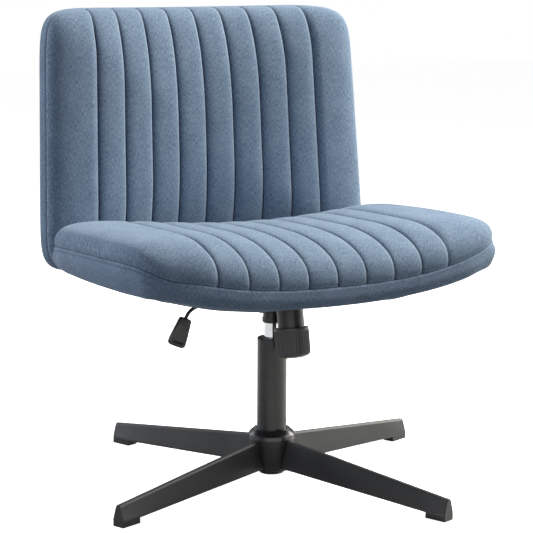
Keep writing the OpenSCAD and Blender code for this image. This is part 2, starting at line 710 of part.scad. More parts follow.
module chassis_wall(side) {
  // pressed side wall with a rounded rear end round the shaft
  difference() {
    translate([side > 0 ? wall_in : -wall_out, 0, 0]) rotate([90, 0, 90]) linear_extrude(steel_t)
      polygon([
        [chassis_front_y, chassis_z], [chassis_rear_y - 10, chassis_z], [chassis_rear_y, chassis_z + 9],
        [chassis_rear_y, wall_top_z - 4], [chassis_rear_y - 4, wall_top_z],
        [chassis_front_y - 18, wall_top_z], [chassis_front_y - 30, wall_top_z - 6.5],
        [chassis_front_y - 30, wall_top_z - 9], [chassis_front_y - 6, chassis_z + 8]
      ]);
    translate([-wall_out - 5, pivot_y, pivot_z]) rotate([0, 90, 0])
      cylinder(h = 2 * wall_out + 10, r = shaft_r + run);
    if (side < 0) translate([-wall_out - 1, -6, rod_z - lever_r - 1.9])
      cube([steel_t + 2, 12, 30]);
  }
}
module tilt_chassis() {
  color(steel_black) {
    difference() {
      translate([-wall_out, chassis_front_y, chassis_z])
        cube([2 * wall_out, chassis_rear_y - 10 - chassis_front_y, steel_t]);
      translate([0, 0, chassis_z - 1]) cylinder(h = steel_t + 2, r = socket_r - 1.5 + run);
      translate([0, pivot_y, chassis_z - 1]) cylinder(h = steel_t + 2, r = 9);
    }
    for (side = [-1, 1]) chassis_wall(side);
    spring_arm();
    lock_shelf();
  }
}
arm_half_w = wall_in + 0.5;
arm_front = -26;
arm_rear = 31;
// Height of the leaning arm's underside at y.
function arm_low_at(y) = bolt_z - tan(knob_lean) * (y + knob_forward) + arm_t0 / cos(knob_lean);
module spring_arm() {
  on_bolt_axis() difference() {
    translate([-arm_half_w, arm_front, arm_t0]) cube([2 * arm_half_w, arm_rear - arm_front, steel_t]);
    translate([0, 0, arm_t0 - 1]) cylinder(h = steel_t + 2, r = 5.2);
  }
  // riser from the channel's floor to the arm
  translate([-arm_half_w, 0, 0]) rotate([90, 0, 90]) linear_extrude(2 * arm_half_w)
    polygon([
      [chassis_front_y, chassis_z], [chassis_front_y + steel_t, chassis_z],
      [chassis_front_y + steel_t, arm_low_at(chassis_front_y + steel_t) + 1.9],
      [chassis_front_y, arm_low_at(chassis_front_y) + 1.9]
    ]);
}
shelf_z = rod_z - 10;
module lock_shelf() {
  shelf_out = 66;
  translate([-shelf_out, -14, shelf_z]) cube([shelf_out - wall_out + eps, 23, steel_t - 0.1]);
  translate([-shelf_out, 7, shelf_z]) cube([shelf_out - wall_out + eps, 2, 5]);
}

module tilt_shaft() {
  color(zinc) translate([-ear_out - 5, pivot_y, pivot_z]) rotate([0, 90, 0])
    cylinder(h = 2 * ear_out + 10, r = shaft_r);
}
module shaft_clips() {
  color(zinc) for (side = [-1, 1]) translate([side * (ear_out + 2.9), pivot_y, pivot_z]) rotate([0, 90, 0])
    ring(-0.6, 1.2, shaft_r, shaft_r + 3.2);
}
module tilt_stops() {
  // rubber buffers on the spring arm carry the seat plate's front
  color(rubber) for (side = [-1, 1]) on_bolt_axis()
    translate([side * 27, -6, arm_t0 + steel_t]) cylinder(h = stop_h, r = 5);
}
stop_h = (plate_low_z - near - bolt_z - 6 * sin(knob_lean) - 5 * sin(knob_lean)) / cos(knob_lean)
  - arm_t0 - steel_t;

// Spring cup: a deep-drawn cup under the arm, open at the bottom.
cup_low = -15;
cup_wall = 1.4;
cup_top_t = 2;
module spring_cup() {
  top_r = cup_r - 0.6;
  color(plastic_black) on_bolt_axis() rotate_extrude() polygon([
    [5.2, arm_t0 - cup_top_t], [top_r - cup_wall, arm_t0 - cup_top_t], [cup_r - cup_wall, cup_low],
    [cup_r, cup_low], [top_r, arm_t0 - 1], [top_r - 1, arm_t0], [5.2, arm_t0]
  ]);
}

// ---------- tension bolt, spring and knob ----------

bolt_r = 4;
knob_top = -12;
knob_low = knob_top - knob_h;
knob_dome = 5;
knob_wall = 3;
knob_floor = -49;
washer_t = 2;
head_r = 5;
yoke_floor_z = plate_low_z - 6.2;            // top of the yoke's floor
head_t = (yoke_floor_z + 0.4 + head_r - bolt_z) / cos(knob_lean);
bolt_end = -54;

module tension_bolt() {
  color(zinc) on_bolt_axis() {
    translate([0, 0, bolt_end]) cylinder(h = head_t - bolt_end, r = bolt_r);
    difference() {
      translate([-10, 0, head_t]) rotate([0, 90, 0]) cylinder(h = 20, r = head_r);
      translate([-11, -head_r - 1, head_t + 1]) cube([22, 2 * head_r + 2, head_r + 1]);
    }
  }
}
module spring_washer() {
  color(zinc) on_bolt_axis() ring(knob_floor + run, washer_t, bolt_r + 0.1, 19.5);
}
wire_r = 1.6;
spring_r = 15;
spring_turns = 6.5;
module tension_spring() {
  low = knob_floor + washer_t + wire_r + 2 * run;
  high = arm_t0 - cup_top_t - wire_r - run;
  sides = 6;
  steps = 110;
  rings = [for (i = [0 : steps])
    let (a = 360 * spring_turns * i / steps, z = low + (high - low) * i / steps)
    [for (k = [0 : sides - 1]) let (b = 360 * k / sides, d = spring_r + wire_r * cos(b))
      [d * cos(a), d * sin(a), z + wire_r * sin(b)]]];
  points = [for (r = rings, p = r) p];
  faces = concat(
    [[for (k = [0 : sides - 1]) k]],
    [for (i = [0 : steps - 1], k = [0 : sides - 1])
      let (a = i * sides + k, b = i * sides + (k + 1) % sides)
      each [[a, a + sides, b + sides], [a, b + sides, b]]],
    [[for (k = [sides - 1 : -1 : 0]) steps * sides + k]]
  );
  color(zinc) on_bolt_axis() polyhedron(points, faces, convexity = 10);
}
module tension_knob() {
  rib_r = 1.1;
  color(plastic_black) on_bolt_axis() difference() {
    union() {
      rotate_extrude() polygon([
        [0, knob_low - knob_dome], [knob_r * 0.55, knob_low - knob_dome + 1], [knob_r - 3, knob_low - 0.8],
        [knob_r - 0.6, knob_low + 2], [knob_r - 0.6, knob_top - 6], [knob_r, knob_top - 5],
        [knob_r, knob_top - 1], [knob_r - 1, knob_top], [0, knob_top]
      ]);
      for (i = [0 : knob_ribs - 1]) rotate([0, 0, i * 360 / knob_ribs])
        translate([knob_r - 0.9, 0, knob_low + 2.5]) cylinder(h = knob_top - 5.5 - knob_low - 2.5, r = rib_r, $fn = 6);
    }
    translate([0, 0, knob_floor]) cylinder(h = knob_top - knob_floor + 1, r = knob_r - knob_wall - 0.6);
    translate([0, 0, knob_floor - nut_t]) cylinder(h = nut_t + 1, r = nut_r + run, $fn = 6);
    translate([0, 0, bolt_end - 7]) cylinder(h = 20, r = bolt_r + 0.1);
  }
}
nut_t = 4.8;
nut_r = 7.5;
module knob_nut() {
  color(zinc) on_bolt_axis() difference() {
    translate([0, 0, knob_floor - nut_t]) cylinder(h = nut_t, r = nut_r, $fn = 6);
    translate([0, 0, knob_floor - nut_t - 1]) cylinder(h = nut_t + 2, r = bolt_r + run);
  }
}

// ---------- lever and tilt lock ----------

pin_x = -(wall_out + 11.5);
strip_z = shelf_z + steel_t - 0.1 + near;
strip_t = 3;
tongue_y = [-32, -20];

module lock_slide() {
  color(zinc) {
    difference() {
      union() {
        translate([pin_x - 14, tongue_y[0], strip_z]) cube([10.5, 38, strip_t]);
        translate([pin_x - 14, -6, strip_z]) cube([16.5, 12, strip_t]);
        translate([pin_x - 4, tongue_y[0], strip_z]) cube([7, tongue_y[1] - tongue_y[0], strip_t]);
        for (y = [-5.6, 3.5]) translate([pin_x - 5, y, strip_z]) cube([7.5, 2.1, 11.5]);
      }
      translate([pin_x, -10, rod_z]) rotate([-90, 0, 0]) cylinder(h = 20, r = 1.5);
    }
  }
}
module lever_pin() {
  color(zinc) translate([pin_x, -6.4, rod_z]) rotate([-90, 0, 0]) cylinder(h = 12.8, r = 1.5);
}

bend_r = 29;
tip_x = 4;
module lever_rod() {
  in_grip = 16;
  color(steel_black) difference() {
    union() {
      translate([-lever_reach, 0, rod_z]) rotate([0, 90, 0]) cylinder(h = lever_reach + tip_x, r = lever_r);
      translate([-lever_reach, 0, rod_z - bend_r]) rotate([90, 0, 0]) rotate([0, 0, 90])
        rotate_extrude(angle = lever_drop) translate([bend_r, 0]) circle(lever_r);
      grip_frame() cylinder(h = in_grip, r = lever_r);
    }
    translate([pin_x, -10, rod_z]) rotate([-90, 0, 0]) cylinder(h = 20, r = 1.5 + run);
  }
}
// The grip's axis starts where the rod's bend ends and points down and outwards.
module grip_frame() {
  translate([-lever_reach - bend_r * sin(lever_drop), 0, rod_z - bend_r * (1 - cos(lever_drop))])
    rotate([0, -90 - lever_drop, 0]) children();
}
module lever_grip() {
  neck = 14;
  flat = 10;                // thickness of the grip's blade
  // levels along the grip: distance, half width, half thickness
  levels = [
    [0, neck / 2 - 1, neck / 2 - 1.5], [1.5, neck / 2, neck / 2], [14, neck / 2 + 0.6, neck / 2],
    [26, grip_w * 0.36, flat / 2 + 0.8], [36, grip_w * 0.475, flat / 2 + 0.3], [42, grip_w / 2, flat / 2],
    [46, grip_w * 0.485, flat / 2 - 0.4], [grip_l - 0.8, grip_w * 0.41, flat / 2 - 1.6],
    [grip_l, grip_w * 0.34, flat / 2 - 3]
  ];
  sides = 28;
  rings = [for (l = levels) [for (k = [0 : sides - 1]) let (a = 360 * k / sides)
    [l[1] * cos(a), l[2] * sin(a), l[0] * (l[0] > 40 ? grip_l / 49 : 1)]]];
  points = [for (r = rings, p = r) p];
  last = len(levels) - 1;
  faces = concat(
    [[for (k = [0 : sides - 1]) k]],
    [for (i = [0 : last - 1], k = [0 : sides - 1])
      let (a = i * sides + k, b = i * sides + (k + 1) % sides)
      each [[a, a + sides, b + sides], [a, b + sides, b]]],
    [[for (k = [sides - 1 : -1 : 0]) last * sides + k]]
  );
  color(plastic_black) grip_frame() difference() {
    polyhedron(points, faces, convexity = 4);
    translate([0, 0, -1]) cylinder(h = 17 + run, r = lever_r + run);
    // finger ribs pressed into both faces of the blade
    for (y = [-6, 0, 6], side = [-1, 1]) translate([y, side * (flat / 2 + 0.2), 28])
      rotate([0, y * 0.9, 0]) cylinder(h = 13, r = 1, $fn = 16);
  }
}

// ---------- seat plate ----------

lip_h = 5;

module seat_plate() {
  bolt_hole = m6_r + 0.4;
  color(steel_black) {
    difference() {
      union() {
        translate([0, 0, plate_low_z]) linear_extrude(steel_t) offset(r = 12)
          square([2 * plate_half_x - 24, 2 * plate_half_y - 24], center = true);
        for (side = [-1, 1]) translate([side > 0 ? plate_half_x - steel_t : -plate_half_x, -plate_half_y + 16,
          plate_z - lip_h - steel_t]) cube([steel_t, 2 * plate_half_y - 32, lip_h + steel_t]);
      }
      at_seat_bolts() translate([0, 0, plate_low_z - 1]) cylinder(h = steel_t + 2, r = bolt_hole);
      translate([-11, -knob_forward - 3, plate_low_z - 1]) cube([22, 18, steel_t + 2]);
      translate([0, 12, plate_low_z - 1]) cylinder(h = steel_t + 2, r = 11);
      // the left lip is notched where the lever's rod passes under it
      translate([-plate_half_x - 1, -8, plate_z - lip_h - steel_t - 1]) cube([steel_t + 2, 16, lip_h + 1]);
      for (side = [-1, 1]) {
        translate([side * (plate_half_x - 37) - 8, 48 - plate_half_y, plate_low_z - 1])
          cube([16, 44, steel_t + 2]);
        translate([side * (plate_half_x - 29) - 7, plate_half_y - 88, plate_low_z - 1])
          cube([14, 44, steel_t + 2]);
      }
    }
    for (side = [-1, 1]) pivot_ear(side);
    bolt_yoke();
    lock_ear();
  }
}
module pivot_ear(side) {
  ear_r = 12;
  translate([side > 0 ? ear_in : -ear_out, 0, 0]) difference() {
    rotate([90, 0, 90]) linear_extrude(steel_t) union() {
      translate([pivot_y, pivot_z]) circle(ear_r);
      polygon([[pivot_y - 20, plate_low_z + eps], [pivot_y + 20, plate_low_z + eps],
        [pivot_y + ear_r, pivot_z], [pivot_y - ear_r, pivot_z]]);
    }
    translate([-1, pivot_y, pivot_z]) rotate([0, 90, 0]) cylinder(h = steel_t + 2, r = shaft_r + 2);
  }
}
yoke_y = -knob_forward + head_t * sin(knob_lean) - 0.7;
module bolt_yoke() {
  half = 16;
  difference() {
    translate([-half, yoke_y - 7, yoke_floor_z - steel_t])
      cube([2 * half, 14, plate_low_z - yoke_floor_z + steel_t + eps]);
    translate([-half + 2, yoke_y - 8, yoke_floor_z]) cube([2 * half - 4, 16, 40]);
    translate([-4.8, yoke_y - 8, yoke_floor_z - steel_t - 1]) cube([9.6, 14.4, steel_t + 2]);
  }
}
module lock_ear() {
  ear_y = [-36, -16];
  translate([-ear_out, 0, 0]) difference() {
    translate([0, ear_y[0], shelf_z - 1.2]) cube([steel_t, ear_y[1] - ear_y[0], plate_low_z - shelf_z + 1.2 + eps]);
    translate([-1, tongue_y[0] - 1, strip_z - near]) cube([steel_t + 2, 14, strip_t + 2 * near]);
  }
}
module pivot_bushes() {
  color(plastic_black) for (side = [-1, 1])
    translate([side > 0 ? ear_in - 0.9 : -ear_out - 0.9, pivot_y, pivot_z]) rotate([0, 90, 0])
      ring(0, steel_t + 1.8, shaft_r + run, shaft_r + 2);
}

// ---------- the chair ----------

leg_front();
leg_right();
leg_rear();
leg_left();
foot_front();
foot_right();
foot_rear();
foot_left();
base_hub();
hub_cover();
column_tube();
column_bush();
lower_race();
bearing_balls();
piston_rod();
upper_race();
rod_buffer();
rod_clip();
gas_cylinder();
cylinder_gland();
valve_pin();
taper_socket();
tilt_chassis();
tilt_shaft();
shaft_clips();
tilt_stops();
spring_cup();
lock_slide();
lever_pin();
lever_rod();
lever_grip();
tension_bolt();
spring_washer();
tension_spring();
tension_knob();
knob_nut();
seat_plate();
pivot_bushes();
seat_bolts();
board_nuts();
dust_cover();
seat_board();
seat_cushion();
back_bracket_left();
back_bracket_right();
bracket_bolts();
back_bolts();
back_board();
back_cushion();
back_panel();
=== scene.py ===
"""Looks of the armless swivel chair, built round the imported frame.

Lengths are in metres, apart from the grip, the cushions and the skins, which are drawn in millimetres."""

import json
import math
from dataclasses import dataclass
from typing import Callable

import bpy
import numpy as np
from mathutils import Matrix, Vector


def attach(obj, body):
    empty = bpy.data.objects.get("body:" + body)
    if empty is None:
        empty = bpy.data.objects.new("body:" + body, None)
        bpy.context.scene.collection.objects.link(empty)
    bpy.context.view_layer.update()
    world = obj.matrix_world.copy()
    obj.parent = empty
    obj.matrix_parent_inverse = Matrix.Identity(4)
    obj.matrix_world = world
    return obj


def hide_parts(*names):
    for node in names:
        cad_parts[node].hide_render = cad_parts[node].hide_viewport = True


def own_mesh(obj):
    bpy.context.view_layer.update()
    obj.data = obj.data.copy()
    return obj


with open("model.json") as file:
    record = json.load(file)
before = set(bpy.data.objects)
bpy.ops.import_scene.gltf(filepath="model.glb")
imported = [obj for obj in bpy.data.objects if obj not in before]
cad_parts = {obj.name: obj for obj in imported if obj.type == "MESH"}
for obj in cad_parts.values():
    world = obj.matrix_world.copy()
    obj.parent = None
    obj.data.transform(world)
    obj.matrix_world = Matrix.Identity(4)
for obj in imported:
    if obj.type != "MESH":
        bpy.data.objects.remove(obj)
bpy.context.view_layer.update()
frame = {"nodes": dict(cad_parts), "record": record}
NODES = frame["nodes"]
JOINTS = {joint["name"]: joint for joint in frame["record"]["behaviour"]["joints"]}


# ---------------------------------------------------------------- helpers for meshes
def mesh_object(name, verts, faces, materials, uvs=None, face_mats=None, attrs=None):
    """A smooth mesh object from points, faces, corner UVs, face material numbers and point values."""
    mesh = bpy.data.meshes.new(name)
    mesh.from_pydata([tuple(v) for v in verts], [], [tuple(f) for f in faces])
    for material in materials:
        mesh.materials.append(material)
    mesh.polygons.foreach_set("use_smooth", [True] * len(mesh.polygons))
    if face_mats is not None:
        mesh.polygons.foreach_set("material_index", np.asarray(face_mats, dtype=np.int32))
    if uvs is not None:
        layer = mesh.uv_layers.new(name="cloth")
        layer.data.foreach_set("uv", np.asarray(uvs, dtype=np.float32).ravel())
    for key, values in (attrs or {}).items():
        attribute = mesh.attributes.new(key, "FLOAT", "POINT")
        attribute.data.foreach_set("value", np.asarray(values, dtype=np.float32))
    mesh.update()
    obj = bpy.data.objects.new(name, mesh)
    bpy.context.collection.objects.link(obj)
    return obj


def smoothstep(a, b, x):
    """0 below a, 1 above b, and a smooth climb between them."""
    t = np.clip((x - a) / (b - a), 0, 1)
    return t * t * (3 - 2 * t)


def bell(x, width):
    """1 at x = 0, falling away to nothing over about two widths."""
    return np.exp(-(x / width) ** 2)


def placed(points, place):
    """Points drawn in millimetres, put in the frame by a matrix in metres."""
    m = np.array(place)
    return points / 1000 @ m[:3, :3].T + m[:3, 3]


def node_points(name):
    """The corners of a CAD node's mesh, in the frame."""
    node = NODES[name]
    points = np.array([v.co for v in node.data.vertices], float)
    m = np.array(node.matrix_world)
    return points @ m[:3, :3].T + m[:3, 3]


# ---------------------------------------------------------------- helpers for nodes
class Nodes:
    """Adds and links the nodes of one tree."""

    def __init__(self, tree):
        self.tree = tree

    def add(self, kind, links=None, **values):
        """A node with its properties or sockets set, and its sockets linked by name."""
        node = self.tree.nodes.new(kind)
        for key, value in values.items():
            if hasattr(node, key):
                setattr(node, key, value)
            else:
                node.inputs[key.replace("_", " ")].default_value = value
        for key, source in (links or {}).items():
            self.tree.links.new(source, node.inputs[key])
        return node

    def math(self, op, a, b=None, clamp=False):
        """A Math node of one or two values, each a number or another node's output."""
        node = self.tree.nodes.new("ShaderNodeMath")
        node.operation = op
        node.use_clamp = clamp
        for i, value in enumerate((a, b)):
            if value is None:
                continue
            if isinstance(value, (int, float)):
                node.inputs[i].default_value = value
            else:
                self.tree.links.new(value, node.inputs[i])
        return node.outputs[0]

    def total(self, first, *others):
        """The sum of outputs, each given with its weight."""
        result = self.math("MULTIPLY", *first)
        for output, weight in others:
            result = self.math("ADD", result, self.math("MULTIPLY", output, weight))
        return result

    def line(self, distance, half_width):
        """1 on a line, falling to 0 at half its width."""
        away = self.math("MULTIPLY", self.math("ABSOLUTE", distance), 1 / half_width)
        return self.math("SUBTRACT", 1.0, away, clamp=True)

    def noise(self, vector, scale, detail, roughness=0.5):
        """The value of a noise texture."""
        return self.add("ShaderNodeTexNoise", {"Vector": vector}, Scale=scale, Detail=detail,
                        Roughness=roughness).outputs[0]

    def ramp(self, fac, stops):
        """A colour ramp through stops of place and colour."""
        node = self.tree.nodes.new("ShaderNodeValToRGB")
        elements = node.color_ramp.elements
        while len(elements) < len(stops):
            elements.new(0.5)
        for element, (position, color) in zip(elements, stops):
            element.position = position
            element.color = (*color, 1)
        self.tree.links.new(fac, node.inputs[0])
        return node.outputs[0]

    def mix(self, fac, a, b):
        """Colour a, turning to colour b as fac goes to 1."""
        node = self.tree.nodes.new("ShaderNodeMix")
        node.data_type = "RGBA"
        self.tree.links.new(fac, node.inputs["Factor"])
        for socket, value in ((node.inputs[6], a), (node.inputs[7], b)):
            if isinstance(value, tuple):
                socket.default_value = (*value, 1)
            else:
                self.tree.links.new(value, socket)
        return node.outputs[2]

    def bump(self, height, strength, distance, bsdf):
        """Raises a height on the shader's surface."""
        node = self.add("ShaderNodeBump", {"Height": height}, Strength=strength, Distance=distance)
        self.tree.links.new(node.outputs[0], bsdf.inputs["Normal"])


def node_group(name, kind, inputs, outputs):
    """A new group: its helper, its input and output nodes, and its inputs' identifiers."""
    tree = bpy.data.node_groups.new(name, kind)
    keys = {}
    for label, socket in inputs:
        keys[label] = tree.interface.new_socket(label, in_out="INPUT", socket_type=socket).identifier
    for label, socket in outputs:
        tree.interface.new_socket(label, in_out="OUTPUT", socket_type=socket)
    g = Nodes(tree)
    return g, g.add("NodeGroupInput"), g.add("NodeGroupOutput"), keys


# ---------------------------------------------------------------- effects that several materials share
FLOAT, VECTOR = "NodeSocketFloat", "NodeSocketVector"
THREAD = 0.0011                         # one thread over and one under


def make_weave():
    """Plain weave of mixed light and dark yarns: the yarns' tone, and the height of the threads."""
    g, given, result, _ = node_group("weave", "ShaderNodeTree", [("Vector", VECTOR)],
                                     [("Tone", FLOAT), ("Height", FLOAT)])
    cloth = given.outputs["Vector"]
    place = g.add("ShaderNodeSeparateXYZ", {"Vector": cloth})
    warp_wave = g.math("SINE", g.math("MULTIPLY", place.outputs[0], 2 * math.pi / THREAD))
    weft_wave = g.math("SINE", g.math("MULTIPLY", place.outputs[1], 2 * math.pi / THREAD))
    crossing = g.math("ADD", g.math("MULTIPLY", g.math("MULTIPLY", warp_wave, weft_wave), 0.5), 0.5)

    def streak(across, along, detail):
        stretched = g.add("ShaderNodeMapping", {"Vector": cloth}, Scale=(across, along, 1))
        return g.noise(stretched.outputs[0], 1.0, detail, 0.6)

    warp, weft = streak(980, 150, 2), streak(190, 900, 2)
    slub, cloud = streak(520, 330, 2), streak(26, 18, 3)
    fuzz = g.noise(cloth, 900.0, 2.0)
    tone = g.total((warp, 0.48), (weft, 0.28), (slub, 0.18), (cloud, 0.14), (crossing, 0.06))
    g.tree.links.new(tone, result.inputs["Tone"])
    g.tree.links.new(g.total((crossing, 0.6), (fuzz, 0.5), (slub, 0.5)), result.inputs["Height"])
    return g.tree


def make_grain():
    """Grain of paint, plating and moulded plastic: a fine speckle, and its mix with broad clouds."""
    g, given, result, _ = node_group("grain", "ShaderNodeTree", [("Vector", VECTOR), ("Scale", FLOAT)],
                                     [("Mottle", FLOAT), ("Speckle", FLOAT)])
    speckle = g.noise(given.outputs["Vector"], 1.0, 3.0, 0.6)
    g.tree.links.new(given.outputs["Scale"], speckle.node.inputs["Scale"])
    broad = g.noise(given.outputs["Vector"], 14.0, 3.0)
    g.tree.links.new(g.total((speckle, 0.6), (broad, 0.4)), result.inputs["Mottle"])
    g.tree.links.new(speckle, result.inputs["Speckle"])
    return g.tree


WEAVE, GRAIN = make_weave(), make_grain()

# ---------------------------------------------------------------- materials
PITCH, CHANNELS = 53.2, 8               # width in millimetres of one stitched channel, and their number
SEAM_AT, WELT_AT = 0.3, 7.0             # painted shade lines in the creases of seam and welt, in millimetres below the border
STITCH_STEP = 0.0042
DARK, MID, LIGHT = (0.066, 0.102, 0.166), (0.139, 0.201, 0.297), (0.276, 0.362, 0.476)
# painted shade in the creases of seams, welts and stitch lines; painted shade on the low side of each stitch
# line; a painted highlight on its high side
CREASE_PAINTED_SHADE = (0.028, 0.028, 0.060)
LOW_SIDE_SHADE = (0.050, 0.072, 0.125)
CREST_PAINTED_HIGHLIGHT = (0.46, 0.53, 0.60)


def new_material(name):
    """A material with its helper and its Principled shader."""
    mat = bpy.data.materials.new(name)
    mat.use_nodes = True
    return mat, Nodes(mat.node_tree), mat.node_tree.nodes["Principled BSDF"]


def border_crease_shade(n):
    """The painted shade in the crease of the border seam, and the fainter painted shade in the crease under
    its welt.
    """
    edge = n.add("ShaderNodeAttribute", attribute_name="edge").outputs["Fac"]
    has_welt = n.add("ShaderNodeAttribute", attribute_name="welt").outputs["Fac"]
    seam = n.line(n.math("ADD", edge, SEAM_AT), 1.3)
    welt = n.math("MULTIPLY", n.line(n.math("ADD", edge, WELT_AT), 1.2), 0.45)
    return n.math("MAXIMUM", seam, n.math("MULTIPLY", welt, has_welt))


def channel_lines(n, uv, color, height, line):
    """The stitch lines between the channels, with painted shade in their grooves and on their low side, a
    painted highlight on their high side, and the cloth's height beside them.
    """
    place = n.add("ShaderNodeSeparateXYZ", {"Vector": uv})
    channel = n.math("DIVIDE", place.outputs[0], PITCH / 1000)
    inside = n.math("LESS_THAN", n.math("ABSOLUTE", channel), CHANNELS / 2 + 0.3)
    within = n.math("FRACT", n.math("ADD", channel, 0.5))
    from_line = n.math("MULTIPLY", n.math("SUBTRACT", within, 0.5), PITCH)
    # painted shade in the groove of each stitch line
    stitch_groove_shade = n.math("MULTIPLY", n.line(from_line, 1.25), inside)
    near = n.math("MULTIPLY", n.line(from_line, 6.0), inside)
    # a painted highlight on the high side of each stitch line, and painted shade on its low side
    low_side_shade = n.math("MULTIPLY", near, n.math("GREATER_THAN", from_line, 0.0))
    color = n.mix(n.math("MULTIPLY", low_side_shade, 0.45), color, LOW_SIDE_SHADE)
    crest_highlight = n.math("MULTIPLY", n.line(n.math("ADD", from_line, 3.0), 2.4), inside)
    color = n.mix(n.math("MULTIPLY", crest_highlight, 0.30), color, CREST_PAINTED_HIGHLIGHT)
    # each stitch pulls the cloth in
    pull = n.math("SINE", n.math("MULTIPLY", place.outputs[1], 2 * math.pi / STITCH_STEP))
    height = n.math("ADD", height, n.math("MULTIPLY", n.math("MULTIPLY", pull, near), 0.5))
    return color, height, n.math("MAXIMUM", line, stitch_groove_shade)


def fabric(name, channels):
    """Melange upholstery. UVs are metres along the cloth; 'edge' is millimetres up from the border seam."""
    mat, n, bsdf = new_material(name)
    uv = n.add("ShaderNodeUVMap", uv_map="cloth").outputs[0]
    weave = n.add("ShaderNodeGroup", {"Vector": uv}, node_tree=WEAVE)
    tone, height = weave.outputs["Tone"], weave.outputs["Height"]
    color = n.ramp(tone, [(0.40, DARK), (0.53, MID), (0.68, LIGHT)])
    line = border_crease_shade(n)
    if channels:
        color, height, line = channel_lines(n, uv, color, height, line)
    # paint shade into the seam, welt and stitch creases
    color = n.mix(n.math("MULTIPLY", line, 0.85), color, CREASE_PAINTED_SHADE)
    n.tree.links.new(color, bsdf.inputs["Base Color"])
    n.tree.links.new(n.math("ADD", 0.80, n.math("MULTIPLY", tone, 0.2)), bsdf.inputs["Roughness"])
    n.bump(height, 0.28, 0.0005, bsdf)
    bsdf.inputs["Sheen Weight"].default_value = 0.30
    bsdf.inputs["Sheen Roughness"].default_value = 0.38
    bsdf.inputs["Sheen Tint"].default_value = (0.72, 0.84, 1.0, 1)
    bsdf.inputs["Specular IOR Level"].default_value = 0.2
    return mat


def solid(name, color, rough, metallic=0.0, grain=0.06, scale=900.0, bump=0.1, edge_highlight=0.0, coat=0.0):
    """Painted, plated or moulded surface: grain in colour, roughness and height, and a painted highlight on
    its sharp edges.
    """
    mat, n, bsdf = new_material(name)
    place = n.add("ShaderNodeTexCoord").outputs["Object"]
    grains = n.add("ShaderNodeGroup", {"Vector": place}, node_tree=GRAIN, Scale=scale)
    mottle = grains.outputs["Mottle"]
    darker = tuple(max(0.0, c * (1 - 2.5 * grain)) for c in color)
    paler = tuple(min(1.0, c * (1 + 2.5 * grain) + 0.002) for c in color)
    finish = n.ramp(mottle, [(0.3, darker), (0.5, color), (0.72, paler)])
    if edge_highlight:
        # a paler colour on sharp edges is a painted highlight
        sharp = n.add("ShaderNodeNewGeometry").outputs["Pointiness"]
        edge_highlight_mask = n.math("MULTIPLY", n.math("SUBTRACT", sharp, 0.52), 9.0, clamp=True)
        edge_highlight_color = tuple(min(1.0, c * 2.2 + 0.05) for c in color)
        finish = n.mix(n.math("MULTIPLY", edge_highlight_mask, edge_highlight), finish, edge_highlight_color)
    n.tree.links.new(finish, bsdf.inputs["Base Color"])
    n.tree.links.new(n.math("ADD", rough - 0.06, n.math("MULTIPLY", mottle, 0.12)), bsdf.inputs["Roughness"])
    n.bump(grains.outputs["Speckle"], bump, 0.0003, bsdf)
    bsdf.inputs["Metallic"].default_value = metallic
    if coat:
        bsdf.inputs["Coat Weight"].default_value = coat
        bsdf.inputs["Coat Roughness"].default_value = 0.25
    return mat


def plywood(name):
    """Bent plywood with its grain along the board."""
    mat, n, bsdf = new_material(name)
    place = n.add("ShaderNodeTexCoord").outputs["Object"]
    along = n.add("ShaderNodeMapping", {"Vector": place}, Scale=(6, 60, 60))
    grain = n.noise(along.outputs[0], 4.0, 6.0, 0.65)
    color = n.ramp(grain, [(0.3, (0.36, 0.22, 0.11)), (0.55, (0.55, 0.38, 0.21)),
                           (0.75, (0.66, 0.49, 0.30))])
    n.tree.links.new(color, bsdf.inputs["Base Color"])
    n.bump(grain, 0.25, 0.0005, bsdf)
    bsdf.inputs["Roughness"].default_value = 0.6
    return mat


def dust_felt(name):
    """Thin black dust cloth with a dimpled face."""
    mat, n, bsdf = new_material(name)
    place = n.add("ShaderNodeTexCoord").outputs["Object"]
    dimples = n.add("ShaderNodeTexVoronoi", {"Vector": place}, Scale=420.0).outputs["Distance"]
    height = n.math("ADD", dimples, n.math("MULTIPLY", n.noise(place, 160.0, 4.0), 0.6))
    color = n.ramp(height, [(0.2, (0.010, 0.010, 0.012)), (0.9, (0.045, 0.045, 0.05))])
    n.tree.links.new(color, bsdf.inputs["Base Color"])
    n.bump(height, 0.5, 0.0006, bsdf)
    bsdf.inputs["Roughness"].default_value = 0.9
    bsdf.inputs["Sheen Weight"].default_value = 0.2
    return mat


FABRIC_TOP = fabric("fabric_channels", channels=True)
FABRIC_PLAIN = fabric("fabric_plain", channels=False)
# powder coat with a painted highlight on its sharp edges
STEEL = solid("powder_coat", (0.017, 0.017, 0.019), 0.33, grain=0.10, scale=1400.0, bump=0.12, edge_highlight=0.55)
TUBE = solid("powder_coat_tube", (0.020, 0.020, 0.0215), 0.26, grain=0.10, scale=1500.0, bump=0.10)
CHROME = solid("chrome", (0.72, 0.73, 0.75), 0.10, metallic=1.0, grain=0.01, scale=300.0, bump=0.02)
ZINC = solid("zinc", (0.52, 0.53, 0.55), 0.34, metallic=1.0, grain=0.05, scale=500.0, bump=0.08)
RING = solid("enamel_ring", (0.045, 0.045, 0.048), 0.20, metallic=0.5, grain=0.05, scale=700.0, bump=0.05,
             coat=0.5)
PLASTIC = solid("plastic_smooth", (0.022, 0.022, 0.024), 0.38, scale=1600.0, bump=0.06)
KNOB = solid("plastic_knob", (0.050, 0.050, 0.053), 0.40, scale=1600.0, bump=0.10)
GRIP = solid("plastic_grip", (0.012, 0.012, 0.013), 0.34, scale=1600.0, bump=0.08)
BUSH = solid("bush_plastic", (0.030, 0.030, 0.033), 0.45, grain=0.05, bump=0.05)
RUBBER = solid("rubber", (0.016, 0.016, 0.016), 0.75, grain=0.12, scale=700.0, bump=0.25)
PLY = plywood("plywood")
DUST = dust_felt("dust_cloth")

